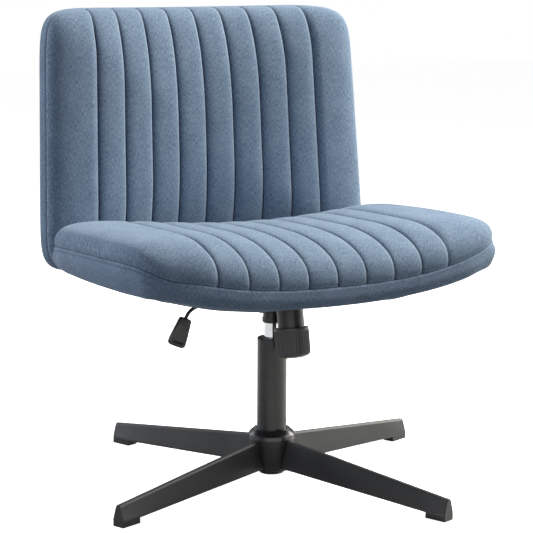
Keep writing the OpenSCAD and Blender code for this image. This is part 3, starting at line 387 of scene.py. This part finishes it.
# every CAD node that isn't named here is powder-coated steel
FINISHES = (
    (RING, ("hub_cover",)),
    (TUBE, ("column_tube",)),
    (CHROME, ("piston_rod", "gas_cylinder", "bearing_balls")),
    (ZINC, ("lower_race", "upper_race", "rod_clip", "tilt_shaft", "shaft_clips", "lock_slide", "lever_pin",
            "tension_bolt", "spring_washer", "tension_spring", "knob_nut", "seat_bolts", "board_nuts",
            "bracket_bolts", "back_bolts")),
    (PLASTIC, ("spring_cup", "foot_front", "foot_right", "foot_rear", "foot_left")),
    (BUSH, ("column_bush", "valve_pin", "pivot_bushes")),
    (RUBBER, ("cylinder_gland", "rod_buffer", "tilt_stops")),
    (KNOB, ("tension_knob",)),
    (GRIP, ("lever_grip",)),
    (PLY, ("seat_board", "back_board")),
    (DUST, ("dust_cover",)),
    (FABRIC_PLAIN, ("seat_cushion", "back_cushion", "back_panel")),
)
finish_of = {name: material for material, names in FINISHES for name in names}
for name, node in NODES.items():
    node.data.materials.clear()
    node.data.materials.append(finish_of.get(name, STEEL))


def soften(names, width, segments=3):
    """Rounds the hard edges of CAD nodes with a bevel, and keeps the light on their faces flat."""
    for name in names:
        node = NODES[name]
        node.data.polygons.foreach_set("use_smooth", [True] * len(node.data.polygons))
        bevel = node.modifiers.new("edges", "BEVEL")
        bevel.width = width
        bevel.segments = segments
        bevel.limit_method = "ANGLE"
        bevel.angle_limit = math.radians(32)
        bevel.harden_normals = True
        bevel.use_clamp_overlap = True


SIDES = ("front", "right", "rear", "left")
soften([f"leg_{side}" for side in SIDES], 0.0012)
soften([f"foot_{side}" for side in SIDES], 0.0010)
soften(["base_hub", "hub_cover", "column_tube", "column_bush", "taper_socket", "spring_cup"], 0.0006)
soften(["tilt_chassis", "seat_plate", "back_bracket_left", "back_bracket_right"], 0.0005, segments=2)

# ---------------------------------------------------------------- tension spring
TURNS, WIRE_WIDE, WIRE_HIGH = 6.5, 0.0016, 0.0014     # of the whole spring, and its wire's half sizes
SPLIT, SPLIT_GAP = 0.3, 0.0012          # where the spring's two lengths meet, and the gap there, as shares
BOLT_AXIS = Vector(JOINTS["bolt_rise"]["axis"])


def make_winding():
    """Wire wound on +Z from a spiral, with its sizes as named inputs, and those inputs' identifiers."""
    g, given, result, keys = node_group(
        "winding", "GeometryNodeTree",
        [("Turns", FLOAT), ("Radius", FLOAT), ("Height", FLOAT), ("Wire", VECTOR),
         ("Metal", "NodeSocketMaterial")],
        [("Geometry", "NodeSocketGeometry")])
    sizes = given.outputs
    spiral = g.add("GeometryNodeCurveSpiral", {"Rotations": sizes["Turns"], "Start Radius": sizes["Radius"],
                                               "End Radius": sizes["Radius"], "Height": sizes["Height"]},
                   Resolution=46, Reverse=True)
    level = g.add("GeometryNodeSetCurveNormal", {"Curve": spiral.outputs[0]}, mode="Z_UP")
    circle = g.add("GeometryNodeCurvePrimitiveCircle", mode="RADIUS", Resolution=12, Radius=1.0)
    section = g.add("GeometryNodeTransform", {"Geometry": circle.outputs[0], "Scale": sizes["Wire"]})
    wire = g.add("GeometryNodeCurveToMesh", {"Curve": level.outputs[0], "Profile Curve": section.outputs[0]},
                 Fill_Caps=True)
    whole = g.add("GeometryNodeRealizeInstances", {"Geometry": wire.outputs[0]})
    metal = g.add("GeometryNodeSetMaterial", {"Geometry": whole.outputs[0], "Material": sizes["Metal"]})
    g.tree.links.new(metal.outputs[0], result.inputs["Geometry"])
    return g.tree, keys


WINDING, WINDING_KEYS = make_winding()


def coil(name, first, last, body):
    """A length of the tension spring between two shares of its height, which gives way to a joint."""
    base = Vector(JOINTS["knob_turn"]["pos_m"])
    points = node_points("tension_spring") - np.array(base)
    level = points @ np.array(BOLT_AXIS)
    out = np.linalg.norm(points - np.outer(level, BOLT_AXIS), axis=-1)
    low, high = level.min() + WIRE_HIGH, level.max() - WIRE_HIGH
    height = (high - low) * (last - first)
    obj = mesh_object(name, [], [], [ZINC])
    winding = obj.modifiers.new("winding", "NODES")
    winding.node_group = WINDING
    sizes = {"Turns": TURNS * (last - first), "Radius": 0.5 * (out.min() + out.max()), "Height": height,
             "Wire": (WIRE_WIDE, WIRE_HIGH, 1.0), "Metal": ZINC}
    for label, value in sizes.items():
        winding[WINDING_KEYS[label]] = value
    mesh = bpy.data.meshes.new_from_object(obj.evaluated_get(bpy.context.evaluated_depsgraph_get()))
    obj.modifiers.remove(winding)
    start = base + BOLT_AXIS * (low + (high - low) * first)
    side = Matrix.Rotation(2 * math.pi * TURNS * first, 3, BOLT_AXIS) @ Vector((1, 0, 0))
    turn = Matrix((side, BOLT_AXIS.cross(side), BOLT_AXIS)).transposed().to_4x4()
    mesh.transform(Matrix.Translation(start) @ turn)
    mesh.polygons.foreach_set("use_smooth", [True] * len(mesh.polygons))
    obj.data = mesh
    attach(obj, body)
    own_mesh(obj)
    return obj


# the cup's end of the spring gives way to the tilt, and the washer's end to the knob
upper_coil = coil("coil_upper", SPLIT + SPLIT_GAP, 1.0, "lift")
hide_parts("tension_spring")
coil("coil_lower", 0.0, SPLIT, "tension_bolt")

# ---------------------------------------------------------------- lever grip, drawn in millimetres
GRIP_LEAN = math.radians(23.03)
GRIP_LONG, GRIP_SIDES = 49.0, 56
BORE, BORE_DEEP = 3.15, 20.0            # the hole that the rod goes into
# along the grip: distance from its top, half width, half thickness
GRIP_SECTIONS = np.array([
    (0.0, 7.2, 5.0), (0.8, 9.4, 6.2), (2.0, 10.6, 6.8), (6.0, 11.4, 7.0), (12.0, 12.2, 7.0),
    (20.0, 13.5, 6.6), (28.0, 14.9, 6.0), (36.0, 16.1, 5.4), (42.0, 16.6, 5.0), (45.5, 16.0, 4.6),
    (47.5, 14.2, 3.9), (48.6, 11.8, 3.0), (GRIP_LONG, 9.0, 2.0)])


def grip_rings():
    """Sections of the grip from the floor of its bore, out over its top and down to its end."""
    turn = 2 * math.pi * np.arange(GRIP_SIDES) / GRIP_SIDES
    round_x, round_y = np.cos(turn), np.sin(turn)
    square_x = np.sign(round_x) * np.abs(round_x) ** (2 / 3)
    square_y = np.sign(round_y) * np.abs(round_y) ** (2 / 3)
    at, wide, thick = GRIP_SECTIONS.T
    rings = [(level, radius * round_x, radius * round_y)
             for level, radius in ((BORE_DEEP, BORE), (0.5, BORE), (0.0, 3.7))]
    for level in np.unique(np.concatenate([at, np.linspace(0, GRIP_LONG, 45)])):
        middle = 1 - smoothstep(0.52, 0.74, np.abs(square_x))
        hollow = smoothstep(9, 14, level) * (1 - smoothstep(40, 44.5, level)) * middle
        rings.append((level, np.interp(level, at, wide) * square_x,
                      np.interp(level, at, thick) * square_y * (1 - 0.30 * hollow)))
    return rings


def build_grip():
    """The lever's paddle: a broad shoulder, a wider end, a hollow in each face and a bore for the rod."""
    down = np.array([-math.sin(GRIP_LEAN), 0, -math.cos(GRIP_LEAN)])
    across = np.array([math.cos(GRIP_LEAN), 0, -math.sin(GRIP_LEAN)])
    points = node_points("lever_grip")
    sides = points @ across
    top = down * (points @ down).min() + across * 0.5 * (sides.min() + sides.max())
    rings = grip_rings()
    verts = [top + down * BORE_DEEP / 1000]
    for level, x, y in rings:
        verts += list(top + down * level / 1000 + np.outer(x / 1000, across) + np.outer(y / 1000, (0, 1, 0)))
    verts.append(top + down * (GRIP_LONG + 0.2) / 1000)
    faces = []
    for k in range(GRIP_SIDES):
        n = (k + 1) % GRIP_SIDES
        faces.append((0, 1 + k, 1 + n))
        for i in range(len(rings) - 1):
            a, b = 1 + i * GRIP_SIDES, 1 + (i + 1) * GRIP_SIDES
            faces.append((a + k, b + k, b + n, a + n))
        last = 1 + (len(rings) - 1) * GRIP_SIDES
        faces.append((last + k, len(verts) - 1, last + n))
    paddle = mesh_object("grip_paddle", verts, faces, [GRIP])
    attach(paddle, "lever")
    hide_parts("lever_grip")


build_grip()

# ---------------------------------------------------------------- cushions, drawn in millimetres
ROWS = 132                              # rows of points from one end of a channel to the other
STITCHED = CHANNELS / 2 * PITCH         # from the middle to the outermost stitch line
SUNK, CREASE = 1.9, 4.5                 # how far a border seam is pulled in, and the width of its crease
FADE_FROM, FADE = 0.80, 0.55            # where the stitch lines start to get shallower, and by how much
WELT_FROM, WELT_FULL = 285, 325         # distance across the seat at which the welt starts, and is full
SWELL, SWELL_AT, SWELL_WIDE = 2.4, 19, 11           # of the border below its seam
FOLD = 3.6                              # how far the border stands out at its corners
FAR = -50.0                             # 'edge' of cloth that lies away from the border seam
# shares of the way down a rim at which it has a ring of points
RIM_SHARES = np.array([0.03, 0.06, 0.09, 0.12, 0.15, 0.18, 0.21, 0.25, 0.30, 0.36, 0.43, 0.51, 0.60, 0.69,
                       0.78, 0.86, 0.93, 0.98, 1.0])


@dataclass
class Pad:
    """The sizes of a cushion, which lies in its own x and y with its crown up."""

    half_wide: float
    half_long: float
    square: tuple           # how square its plan is, in x and in y
    crown: float            # height of the crown over the border seam
    crown_square: float     # how full the crown is towards the border
    channel: float          # depth of the stitch lines
    pocket: tuple           # mouth of the board's pocket: shares of the plan in x and y, and shift in y
    seam: Callable          # height of the border seam at x, y
    under: Callable         # height of the underside at x, y and a share of the way out to the border
    roof: Callable          # height of the pocket's roof at x
    taper: float = 0.0      # how much narrower it gets towards +y
    bow: float = 0.0        # how much narrower it gets towards both ends of its channels
    lean: float = 0.0       # how much fuller it is towards -x
    rolled: float = 0.0     # share of the way out where the rim's roll ends and the flat underside begins
    welted: float = 0.0     # 1 where the border has a welt and folds at its corners


def half_depth(x, n):
    """Depth of a unit superellipse at x."""
    return np.maximum(0.0, 1 - np.abs(x) ** n) ** (1 / n)


def bent_level(x, level, flat, radius):
    """Height of a level in a bent board, as in the frame: flat in the middle, with curved wings."""
    rise = radius - math.sqrt(radius * radius - flat * flat)
    wing = radius - rise - np.sqrt((radius - level) ** 2 - x ** 2)
    return np.where(np.abs(x) <= flat, level, wing)


def share_of_plan(u, v, nx, ny):
    """How far out a point lies, 1 on the outline |u|^nx + |v|^ny = 1, and the share's slopes in u and v."""
    u, v = np.abs(u), np.abs(v)
    r = np.maximum(np.maximum(u, v), 1e-6)
    for _ in range(30):
        a, b = (u / r) ** nx, (v / r) ** ny
        r = r * (1 + (a + b - 1) / np.maximum(nx * a + ny * b, 1e-9))
    a, b = (u / r) ** nx, (v / r) ** ny
    total = np.maximum(nx * a + ny * b, 1e-9)
    return r, nx * (u / r) ** (nx - 1) / total, ny * (v / r) ** (ny - 1) / total


def columns_across(half_wide):
    """Places across a pad of its columns of points, closer together towards the stitch lines."""
    steps = 18              # in each channel
    inner = []
    for channel in range(CHANNELS):
        for k in range(steps):
            even, eased = k / steps, 0.5 - 0.5 * math.cos(math.pi * k / steps)
            inner.append((channel - CHANNELS / 2 + 0.35 * even + 0.65 * eased) * PITCH)
    inner.append(STITCHED)
    share = np.linspace(0, 1, 40)[1:]
    side = STITCHED + (half_wide * (1 - 1e-6) - STITCHED) * (1 - (1 - share) ** 2.2)
    side = np.unique(np.concatenate([STITCHED + np.array([1.2, 3.0, 5.5]), side]))
    return np.concatenate([-side[::-1], inner, side])


def crowned_face(pad):
    """The stitched face of a pad: places across it, points, their plan, the way out to the border there,
    and how high the face lies over the border seam."""
    columns = columns_across(pad.half_wide)
    nx, ny = pad.square
    reach = pad.half_long * np.maximum(0, 1 - np.abs(columns / pad.half_wide) ** nx) ** (1 / ny)
    y = reach[:, None] * np.sin(math.pi / 2 * np.linspace(-1, 1, ROWS))[None, :]
    across = np.repeat(columns[:, None], ROWS, axis=1)
    x = across * (1 - pad.taper * y / pad.half_wide) * (1 - pad.bow * (1 - bell(y, 110)))
    share, slope_u, slope_v = share_of_plan(across / pad.half_wide, y / pad.half_long, nx, ny)
    share = np.minimum(1.0, share)
    share[:, 0] = share[:, -1] = 1.0
    fuller = 1 - pad.lean * np.where(across < 0, 1.0, 0.4) * across / pad.half_wide
    lift = pad.crown * half_depth(share, pad.crown_square) * fuller
    # the way that the crown faces
    n = pad.crown_square
    safe = np.maximum(share, 1e-6)
    fall = pad.crown * safe ** (n - 1) * np.maximum(2e-5, 1 - safe ** n) ** (1 / n - 1)
    out_x, out_y = np.sign(across) * slope_u / pad.half_wide, np.sign(y) * slope_v / pad.half_long
    tilt_x = pad.seam(x + 0.5, y) - pad.seam(x - 0.5, y)
    tilt_y = pad.seam(x, y + 0.5) - pad.seam(x, y - 0.5)
    normal = np.stack([fall * out_x - tilt_x, fall * out_y - tilt_y, np.ones_like(x)], axis=-1)
    normal /= np.linalg.norm(normal, axis=-1, keepdims=True)
    # stitch lines sink between round channels, and get shallower towards the border
    within = across / PITCH - np.floor(across / PITCH)
    lobe = np.maximum(0.0, 1 - np.abs(2 * within - 1) ** 3.0) ** 0.52
    past = np.abs(across) - STITCHED
    beside = -np.maximum(0, 1 - np.maximum(past, 0) / 16) ** 2.2
    groove = np.where(past < -1e-6, lobe - 1, beside) * (1 - FADE * smoothstep(FADE_FROM, 1.0, share))
    move = pad.channel * groove - SUNK * bell(lift, CREASE)
    points = np.stack([x, y, pad.seam(x, y) + lift], axis=-1) + normal * move[..., None]
    return across, points, np.stack([x, y], axis=-1), np.stack([out_x, out_y], axis=-1), lift


def border_loop(cols):
    """The column and row of each point of a face's border, once round."""
    low_y = [(i, 0) for i in range(cols)]
    high_x = [(cols - 1, j) for j in range(1, ROWS)]
    high_y = [(i, ROWS - 1) for i in range(cols - 2, -1, -1)]
    low_x = [(0, j) for j in range(ROWS - 2, 0, -1)]
    return np.array(low_y + high_x + high_y + low_x).T


def corner_folds(plan, out):
    """How far the border stands out in an upright fold at each corner, and lies in on both sides of it."""
    ahead, behind = np.roll(plan, -1, axis=0), np.roll(plan, 1, axis=0)
    turned = np.linalg.norm(np.roll(out, -1, axis=0) - np.roll(out, 1, axis=0), axis=-1)
    bend = turned / np.maximum(1e-6, np.linalg.norm(ahead - behind, axis=-1))
    fold = np.zeros(len(plan))
    for side in ((1, 1), (1, -1), (-1, 1), (-1, -1)):
        here = np.all(np.sign(plan) == side, axis=-1)
        corner = plan[int(np.argmax(np.where(here, bend, 0)))]
        away = np.linalg.norm(plan - corner, axis=-1)
        fold += np.where(here, bell(away, 13) - 0.45 * bell(away - 36, 17), 0)
    return fold


def rim_rings(pad, plan, out, mouth):
    """Rings down the rim and in to the pocket's mouth. Each has its points, their height over the border
    seam, where the welt is, and the cloth passed on the way."""
    down = RIM_SHARES
    inward = pad.rolled + (1 - pad.rolled) * (1 - down ** 2.8) ** (1 / 2.8)
    if pad.rolled > 0:
        inward = np.concatenate([inward, pad.rolled * np.linspace(1, 0, 7)[1:]])
        down = np.concatenate([down, np.ones(6)])
    fold = corner_folds(plan, out)
    wide = np.linalg.norm(plan - mouth, axis=-1)
    rings = []
    for share_out, share_down in zip(inward, down):
        x, y = (mouth + (plan - mouth) * share_out).T
        level = pad.seam(x, y)
        drop = (level - pad.under(x, y, share_out)) * share_down
        ends = pad.welted * smoothstep(WELT_FROM, WELT_FULL, np.abs(x))
        # sewn in at the seam, a low welt under it at the ends, then a soft swell
        swell = (-SUNK * bell(drop, 2.2) + SWELL * bell(drop - SWELL_AT, SWELL_WIDE)
                 + ends * (0.5 * bell(drop - 3.6, 1.8) - 0.7 * bell(drop - WELT_AT, 1.6))
                 + pad.welted * FOLD * fold * smoothstep(2, 16, drop))
        points = np.stack([x + out[:, 0] * swell, y + out[:, 1] * swell, level - drop], axis=-1)
        rings.append((points, -drop, ends, drop + wide * (1 - share_out)))
    return rings


def pocket_rings(pad, mouth):
    """Rings over the pocket's roof, which lies on the board. Each has the same four parts."""
    rings = []
    for share in (1.0, 0.6, 0.2):
        x, y = (mouth * share).T
        points = np.stack([x, y, pad.roof(x)], axis=-1)
        same = np.ones(len(x))
        rings.append((points, FAR * same, 0 * same, (160.0 - 100 * share) * same))
    return rings


def build_pad(name, pad, place, node):
    """A channelled pad with a creased border seam, a rolled under-edge and its board's pocket.
    Gives the ring of its pocket's mouth."""
    across, face, plan, out, lift = crowned_face(pad)
    cols = len(across)
    # cloth coordinates: across the channels, and along them over the crown
    along = np.cumsum(np.linalg.norm(np.diff(face, axis=1), axis=-1), axis=1)
    along = np.concatenate([np.zeros((cols, 1)), along], axis=1)
    face_uv = np.stack([across, along - along[:, ROWS // 2][:, None]], axis=-1) / 1000
    faces, uvs = [], []
    for i in range(cols - 1):
        for j in range(ROWS - 1):
            corners = ((i, j), (i + 1, j), (i + 1, j + 1), (i, j + 1))
            faces.append([a * ROWS + b for a, b in corners])
            uvs += [face_uv[a, b] for a, b in corners]
    mats = [0] * len(faces)

    columns, rows = border_loop(cols)
    plan, out = plan[columns, rows], out[columns, rows]
    out = out / np.maximum(1e-12, np.linalg.norm(out, axis=-1, keepdims=True))
    share_x, share_y, shift = pad.pocket
    mouth = plan * (share_x, share_y) + (0, shift)
    rings = rim_rings(pad, plan, out, mouth) + pocket_rings(pad, mouth)
    count = len(plan)
    centre = cols * ROWS + count * len(rings)
    middle = [[0.0, 0.0, float(pad.roof(np.array([0.0]))[0])]]
    points = np.concatenate([face.reshape(-1, 3)] + [ring[0] for ring in rings] + [middle])
    edge = np.concatenate([lift.reshape(-1)] + [ring[1] for ring in rings] + [[FAR]])
    welt = np.concatenate([np.zeros(cols * ROWS)] + [ring[2] for ring in rings] + [[0.0]])

    ids = [columns * ROWS + rows] + [cols * ROWS + k * count + np.arange(count) for k in range(len(rings))]
    walked = np.concatenate([[0], np.cumsum(np.linalg.norm(np.diff(plan, axis=0), axis=-1))]) / 1000
    passed = [np.zeros(count)] + [ring[3] / 1000 for ring in rings]
    for k in range(len(rings)):
        for a in range(count):
            b = (a + 1) % count
            faces.append((ids[k][a], ids[k + 1][a], ids[k + 1][b], ids[k][b]))
            u, u_next = walked[a], walked[max(a, b)]
            uvs += [(u, passed[k][a]), (u, passed[k + 1][a]),
                    (u_next, passed[k + 1][b]), (u_next, passed[k][b])]
    for a in range(count):
        b = (a + 1) % count
        faces.append((ids[-1][a], centre, ids[-1][b]))
        uvs += [(walked[a], 0.2), (walked[a], 0.25), (walked[b], 0.2)]
    mats += [1] * (len(faces) - len(mats))
    obj = mesh_object(name, placed(points, place), faces, [FABRIC_TOP, FABRIC_PLAIN], uvs, mats,
                      {"edge": edge, "welt": welt})
    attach(obj, "seat")
    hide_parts(node)
    return mouth


BOARD_FLAT, BOARD_RADIUS, BOARD_THICK = 124, 1200, 12.3     # of the seat's bent board
SEAT_HALF_LONG = 211.2
SEAT_BASE = 329.0                       # underside of the seat's board
CLOTH = 1.2                             # thickness of the dust cloth
SEAT_PLACE = Matrix.Translation((0, -0.0046, 0))


def seat_board(x, level):
    """Height of a level over the underside of the seat's board."""
    return SEAT_BASE + bent_level(x, level, BOARD_FLAT, BOARD_RADIUS)


def seat_seam(x, y):
    """The border seam climbs to the sides and a little to the front, and is tucked in at a front corner."""
    level, climb, front_rise, end_fall, tucked = 357.8, 41.5, 5.9, 3.3, 6.0
    back = y / SEAT_HALF_LONG
    ends = np.minimum(1.2, (np.abs(x) / 330) ** 4)
    tuck = bell(x + 288, 34) * smoothstep(140, 203, -y)
    return (level + climb * (np.abs(x) / 300) ** 2.54 - front_rise * back - end_fall * (1 + back) * ends
            - tucked * tuck)


def seat_under(x, y, share_out):
    """Underside of the seat's rim, in to the board at the pocket's mouth."""
    level, front_rise, most = 328.6, 2.8, 34
    board = seat_board(x, -CLOTH)
    climb = 26.1 * (np.abs(x) / 267) ** 2.2
    climb = climb / (1 + (climb / most) ** 10) ** 0.1
    rim = level - front_rise * y / SEAT_HALF_LONG + climb
    return board + (rim - board) * smoothstep(0, SEAT.rolled, share_out)


SEAT = Pad(half_wide=338.0, half_long=SEAT_HALF_LONG, square=(4.65, 8.3), crown=76.8, crown_square=2.62,
           channel=7.0, pocket=(0.855, 0.822, 0.0), seam=seat_seam, under=seat_under,
           roof=lambda x: seat_board(x, BOARD_THICK), bow=0.018, lean=0.075, rolled=0.68, welted=1.0)
seat_mouth = build_pad("seat_pad", SEAT, SEAT_PLACE, "seat_cushion")

BACK_RADIUS = 862                       # of the back's bent board
BACK_SWEEP = 63.9 / 301.5 ** 2          # how the back's border sweeps forward to its sides
# levels behind the back's border seam: roof of the pocket, rear of the rim, front and rear of the panel
BACK_ROOF, BACK_UNDER, PANEL_FRONT, PANEL_REAR = -3.2, -29.4, -24.8, -29.7
RECLINE = math.radians(3.6)
BACK_PLACE = (Matrix.Translation((0, 0.3072, 0.5509)) @ Matrix.Rotation(math.pi / 2 - RECLINE, 4, "X")
              @ Matrix.Translation((0, 0.0058, 0)))


def back_level(x, level):
    """Height of a level that is bent as the back's board is."""
    return bent_level(x, level, 0, BACK_RADIUS)


BACK = Pad(half_wide=302.0, half_long=223.0, square=(11.0, 11.0), crown=72.5, crown_square=2.43,
           channel=7.3, pocket=(0.93, 0.955, -5.8), seam=lambda x, y: BACK_SWEEP * x * x,
           under=lambda x, y, share_out: back_level(x, BACK_UNDER), roof=lambda x: back_level(x, BACK_ROOF),
           taper=0.044)
back_mouth = build_pad("back_pad", BACK, BACK_PLACE, "back_cushion")

# ---------------------------------------------------------------- dust cloth and rear panel, in millimetres
SKIN_FIT = 0.996                        # size of a skin in its pocket's mouth
# from the border inwards: share of the way out, and share of the way from the front face to the rear one
SKIN_STEPS = [(1.0, 0.5), (0.9985, 0.82), (0.995, 0.97)] + [
    (share, 1.0) for share in (0.985, 0.97, 0.94, 0.88, 0.78, 0.64, 0.48, 0.32, 0.16)]


def skin(name, ring, front, rear, dish, material, place, node):
    """A closed panel or cloth that fills a ring, with a turned-in border and a dish in its rear face."""
    count = len(ring)
    steps = [(share, 1 - depth) for share, depth in reversed(SKIN_STEPS[1:])] + SKIN_STEPS
    points, edge = [], []
    for share, depth in steps:
        x, y = (ring * share).T
        level = rear(x) + (front(x) - rear(x)) * (1 - depth)
        if depth > 0.5:
            level = level - dish(x, y) * depth
        points.append(np.stack([x, y, level], axis=-1))
        edge.append(-np.linalg.norm(ring * (1 - share), axis=-1) if depth >= 0.5 else np.full(count, FAR))
    zero = np.array([0.0])
    front_middle = [0, 0, float(front(zero)[0])]
    rear_middle = [0, 0, float((rear(zero) - dish(zero, zero))[0])]
    points = np.concatenate(points + [[front_middle, rear_middle]])
    ids = [k * count + np.arange(count) for k in range(len(steps))]
    faces = []
    for a in range(count):
        b = (a + 1) % count
        faces.append((len(points) - 2, ids[0][a], ids[0][b]))
        for lower, upper in zip(ids[:-1], ids[1:]):
            faces.append((lower[a], upper[a], upper[b], lower[b]))
        faces.append((ids[-1][a], len(points) - 1, ids[-1][b]))
    uvs = [points[i][:2] / 1000 for face in faces for i in face]
    obj = mesh_object(name, placed(points, place), faces, [material], uvs,
                      attrs={"edge": np.concatenate(edge + [[FAR, FAR]])})
    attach(obj, "seat")
    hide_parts(node)
    return obj


def cloth_slack(x, y):
    """The dust cloth hangs a little between its border and the steel it lies on."""
    clear = smoothstep(0, 45, np.maximum(np.abs(x) - 130, np.abs(y) - 118))
    waves = 0.9 + 0.5 * np.sin(x / 31 + y / 47) + 0.4 * np.sin(x / 17 - y / 26)
    return clear * np.maximum(0, waves) * np.clip(1 - (np.abs(x) / 290) ** 4, 0, 1)


dust_ring = seat_mouth * SKIN_FIT
dust_sheet = skin("dust_sheet", dust_ring, lambda x: seat_board(x, 0.0), lambda x: seat_board(x, -CLOTH),
                  cloth_slack, DUST, SEAT_PLACE, "dust_cover")

back_skin = skin("back_skin", back_mouth * SKIN_FIT, lambda x: back_level(x, PANEL_FRONT),
                 lambda x: back_level(x, PANEL_REAR), lambda x, y: 0 * x, FABRIC_PLAIN, BACK_PLACE,
                 "back_panel")

# ---------------------------------------------------------------- camera
HEADING = Vector((0.4816, 0.8764, 0.0))     # the way the camera looks, over the floor
TOWARDS, ASIDE = -HEADING, Vector((HEADING.y, -HEADING.x, 0))   # to the camera, and to its right
CAMERA_AT = (-1.5284, -2.7555, 0.9044)
LOOKS_DOWN, ROLL = math.radians(9.8355), math.radians(0.292)


def make_camera():
    """The camera, from its heading over the floor, its look down and its roll."""
    ahead = (HEADING * math.cos(LOOKS_DOWN) - Vector((0, 0, math.sin(LOOKS_DOWN)))).normalized()
    level = ASIDE.normalized()
    upright = level.cross(ahead)
    right = level * math.cos(ROLL) + upright * math.sin(ROLL)
    up = upright * math.cos(ROLL) - level * math.sin(ROLL)
    data = bpy.data.cameras.new("camera")
    data.sensor_width = 36
    data.lens = 130.07
    data.shift_x = 0.0028
    data.shift_y = 0.0058
    camera = bpy.data.objects.new("camera", data)
    bpy.context.collection.objects.link(camera)
    turn = Matrix((right, up, -ahead)).transposed().to_4x4()
    camera.matrix_world = Matrix.Translation(CAMERA_AT) @ turn
    bpy.context.scene.camera = camera


make_camera()
bpy.context.scene.view_settings.view_transform = "Standard"

# ---------------------------------------------------------------- room, floor and lamps
LEFT_GLOW = 0.44
FULL, HALF, DIM, STRIP = 0.75, 0.30, 0.02, 2.0      # what gloss sees of the room
# from behind the chair round to the camera: place, and the strength there
ROOM = [(0.0, HALF), (0.2, HALF), (0.35, FULL), (0.52, FULL), (0.66, DIM), (0.90, DIM), (0.965, STRIP)]


def make_room():
    """A white room for the camera, a soft glow from the left, and what gloss sees of the studio."""
    world = bpy.data.worlds.new("studio")
    world.use_nodes = True
    bpy.context.scene.world = world
    n = Nodes(world.node_tree)
    direction = n.add("ShaderNodeTexCoord").outputs["Generated"]

    def facing(way):
        dot = n.add("ShaderNodeVectorMath", {0: direction}, operation="DOT_PRODUCT")
        dot.inputs[1].default_value = way
        return dot.outputs["Value"]

    path = n.add("ShaderNodeLightPath")
    glow = n.math("POWER", n.math("MAXIMUM", facing(-ASIDE), 0.0), 2.0)
    glow = n.math("MULTIPLY", glow, LEFT_GLOW)
    around = n.math("ADD", n.math("MULTIPLY", facing(TOWARDS), 0.5), 0.5)
    seen = n.ramp(around, [(place, (strength,) * 3) for place, strength in ROOM])
    gloss = n.math("MULTIPLY", seen, path.outputs["Is Glossy Ray"])
    strength = n.math("MAXIMUM", n.math("MAXIMUM", glow, gloss), path.outputs["Is Camera Ray"])
    background = world.node_tree.nodes["Background"]
    background.inputs["Color"].default_value = (1, 1, 1, 1)
    n.tree.links.new(strength, background.inputs["Strength"])


def make_floor():
    """A pale floor that throws little light back up at the chair."""
    mat, n, bsdf = new_material("floor")
    bsdf.inputs["Roughness"].default_value = 0.9
    bsdf.inputs["Specular IOR Level"].default_value = 0.1
    path = n.add("ShaderNodeLightPath")
    pale = n.mix(path.outputs["Is Diffuse Ray"], (0.9, 0.9, 0.9), (0.22, 0.22, 0.23))
    n.tree.links.new(pale, bsdf.inputs["Base Color"])
    bsdf.inputs["Emission Color"].default_value = (1, 1, 1, 1)
    shine = n.math("MULTIPLY", path.outputs["Is Camera Ray"], 0.92)
    n.tree.links.new(shine, bsdf.inputs["Emission Strength"])
    floor = mesh_object("floor", [(-9, -9, 0), (9, -9, 0), (9, 9, 0), (-9, 9, 0)], [(0, 1, 2, 3)], [mat])
    floor.location.z = -0.0005


def soft_box(name, towards, aside, height, size, power, color):
    """A lamp at a place told from the chair: towards the camera, to its right, and its height."""
    data = bpy.data.lights.new(name, "AREA")
    data.shape = "RECTANGLE"
    data.size, data.size_y = size
    data.energy = power
    data.color = color
    lamp = bpy.data.objects.new(name, data)
    bpy.context.collection.objects.link(lamp)
    at = TOWARDS * towards + ASIDE * aside + Vector((0, 0, height))
    aim = Vector((0, 0, 0.4)) - at
    lamp.matrix_world = Matrix.Translation(at) @ aim.to_track_quat("-Z", "Y").to_matrix().to_4x4()


make_room()
make_floor()
WARM, COOL = (1.0, 0.972, 0.895), (0.87, 0.945, 1.05)
# name, places towards the camera and to its right, height, size, power and colour
LAMPS = (
    ("top", 0.0, 0.0, 2.6, (2.0, 2.0), 1, COOL),
    ("top_back", -1.6, 0.0, 2.2, (2.0, 1.2), 6, COOL),
    ("top_right", 0.0, 2.0, 1.9, (1.4, 1.4), 18, WARM),
    ("top_left", 0.0, -2.0, 1.9, (1.4, 1.4), 1.5, COOL),
    ("right", 0.0, 2.6, 0.8, (1.2, 1.4), 4, COOL),
    ("left", 0.0, -2.6, 0.8, (1.2, 1.4), 6, COOL),
    ("front_left", 2.0, -1.6, 1.4, (1.0, 1.4), 13.5, COOL),
    ("back_right", -1.6, 2.2, 1.0, (1.2, 1.6), 40, WARM),
    ("back_left", -1.6, -2.2, 1.0, (1.2, 1.6), 12, COOL),
    ("right_high", -0.6, 1.6, 2.2, (0.9, 0.9), 87, WARM),
    ("left_high", -0.6, -1.6, 2.2, (0.9, 0.9), 19, WARM),
)
for lamp in LAMPS:
    soft_box(*lamp)
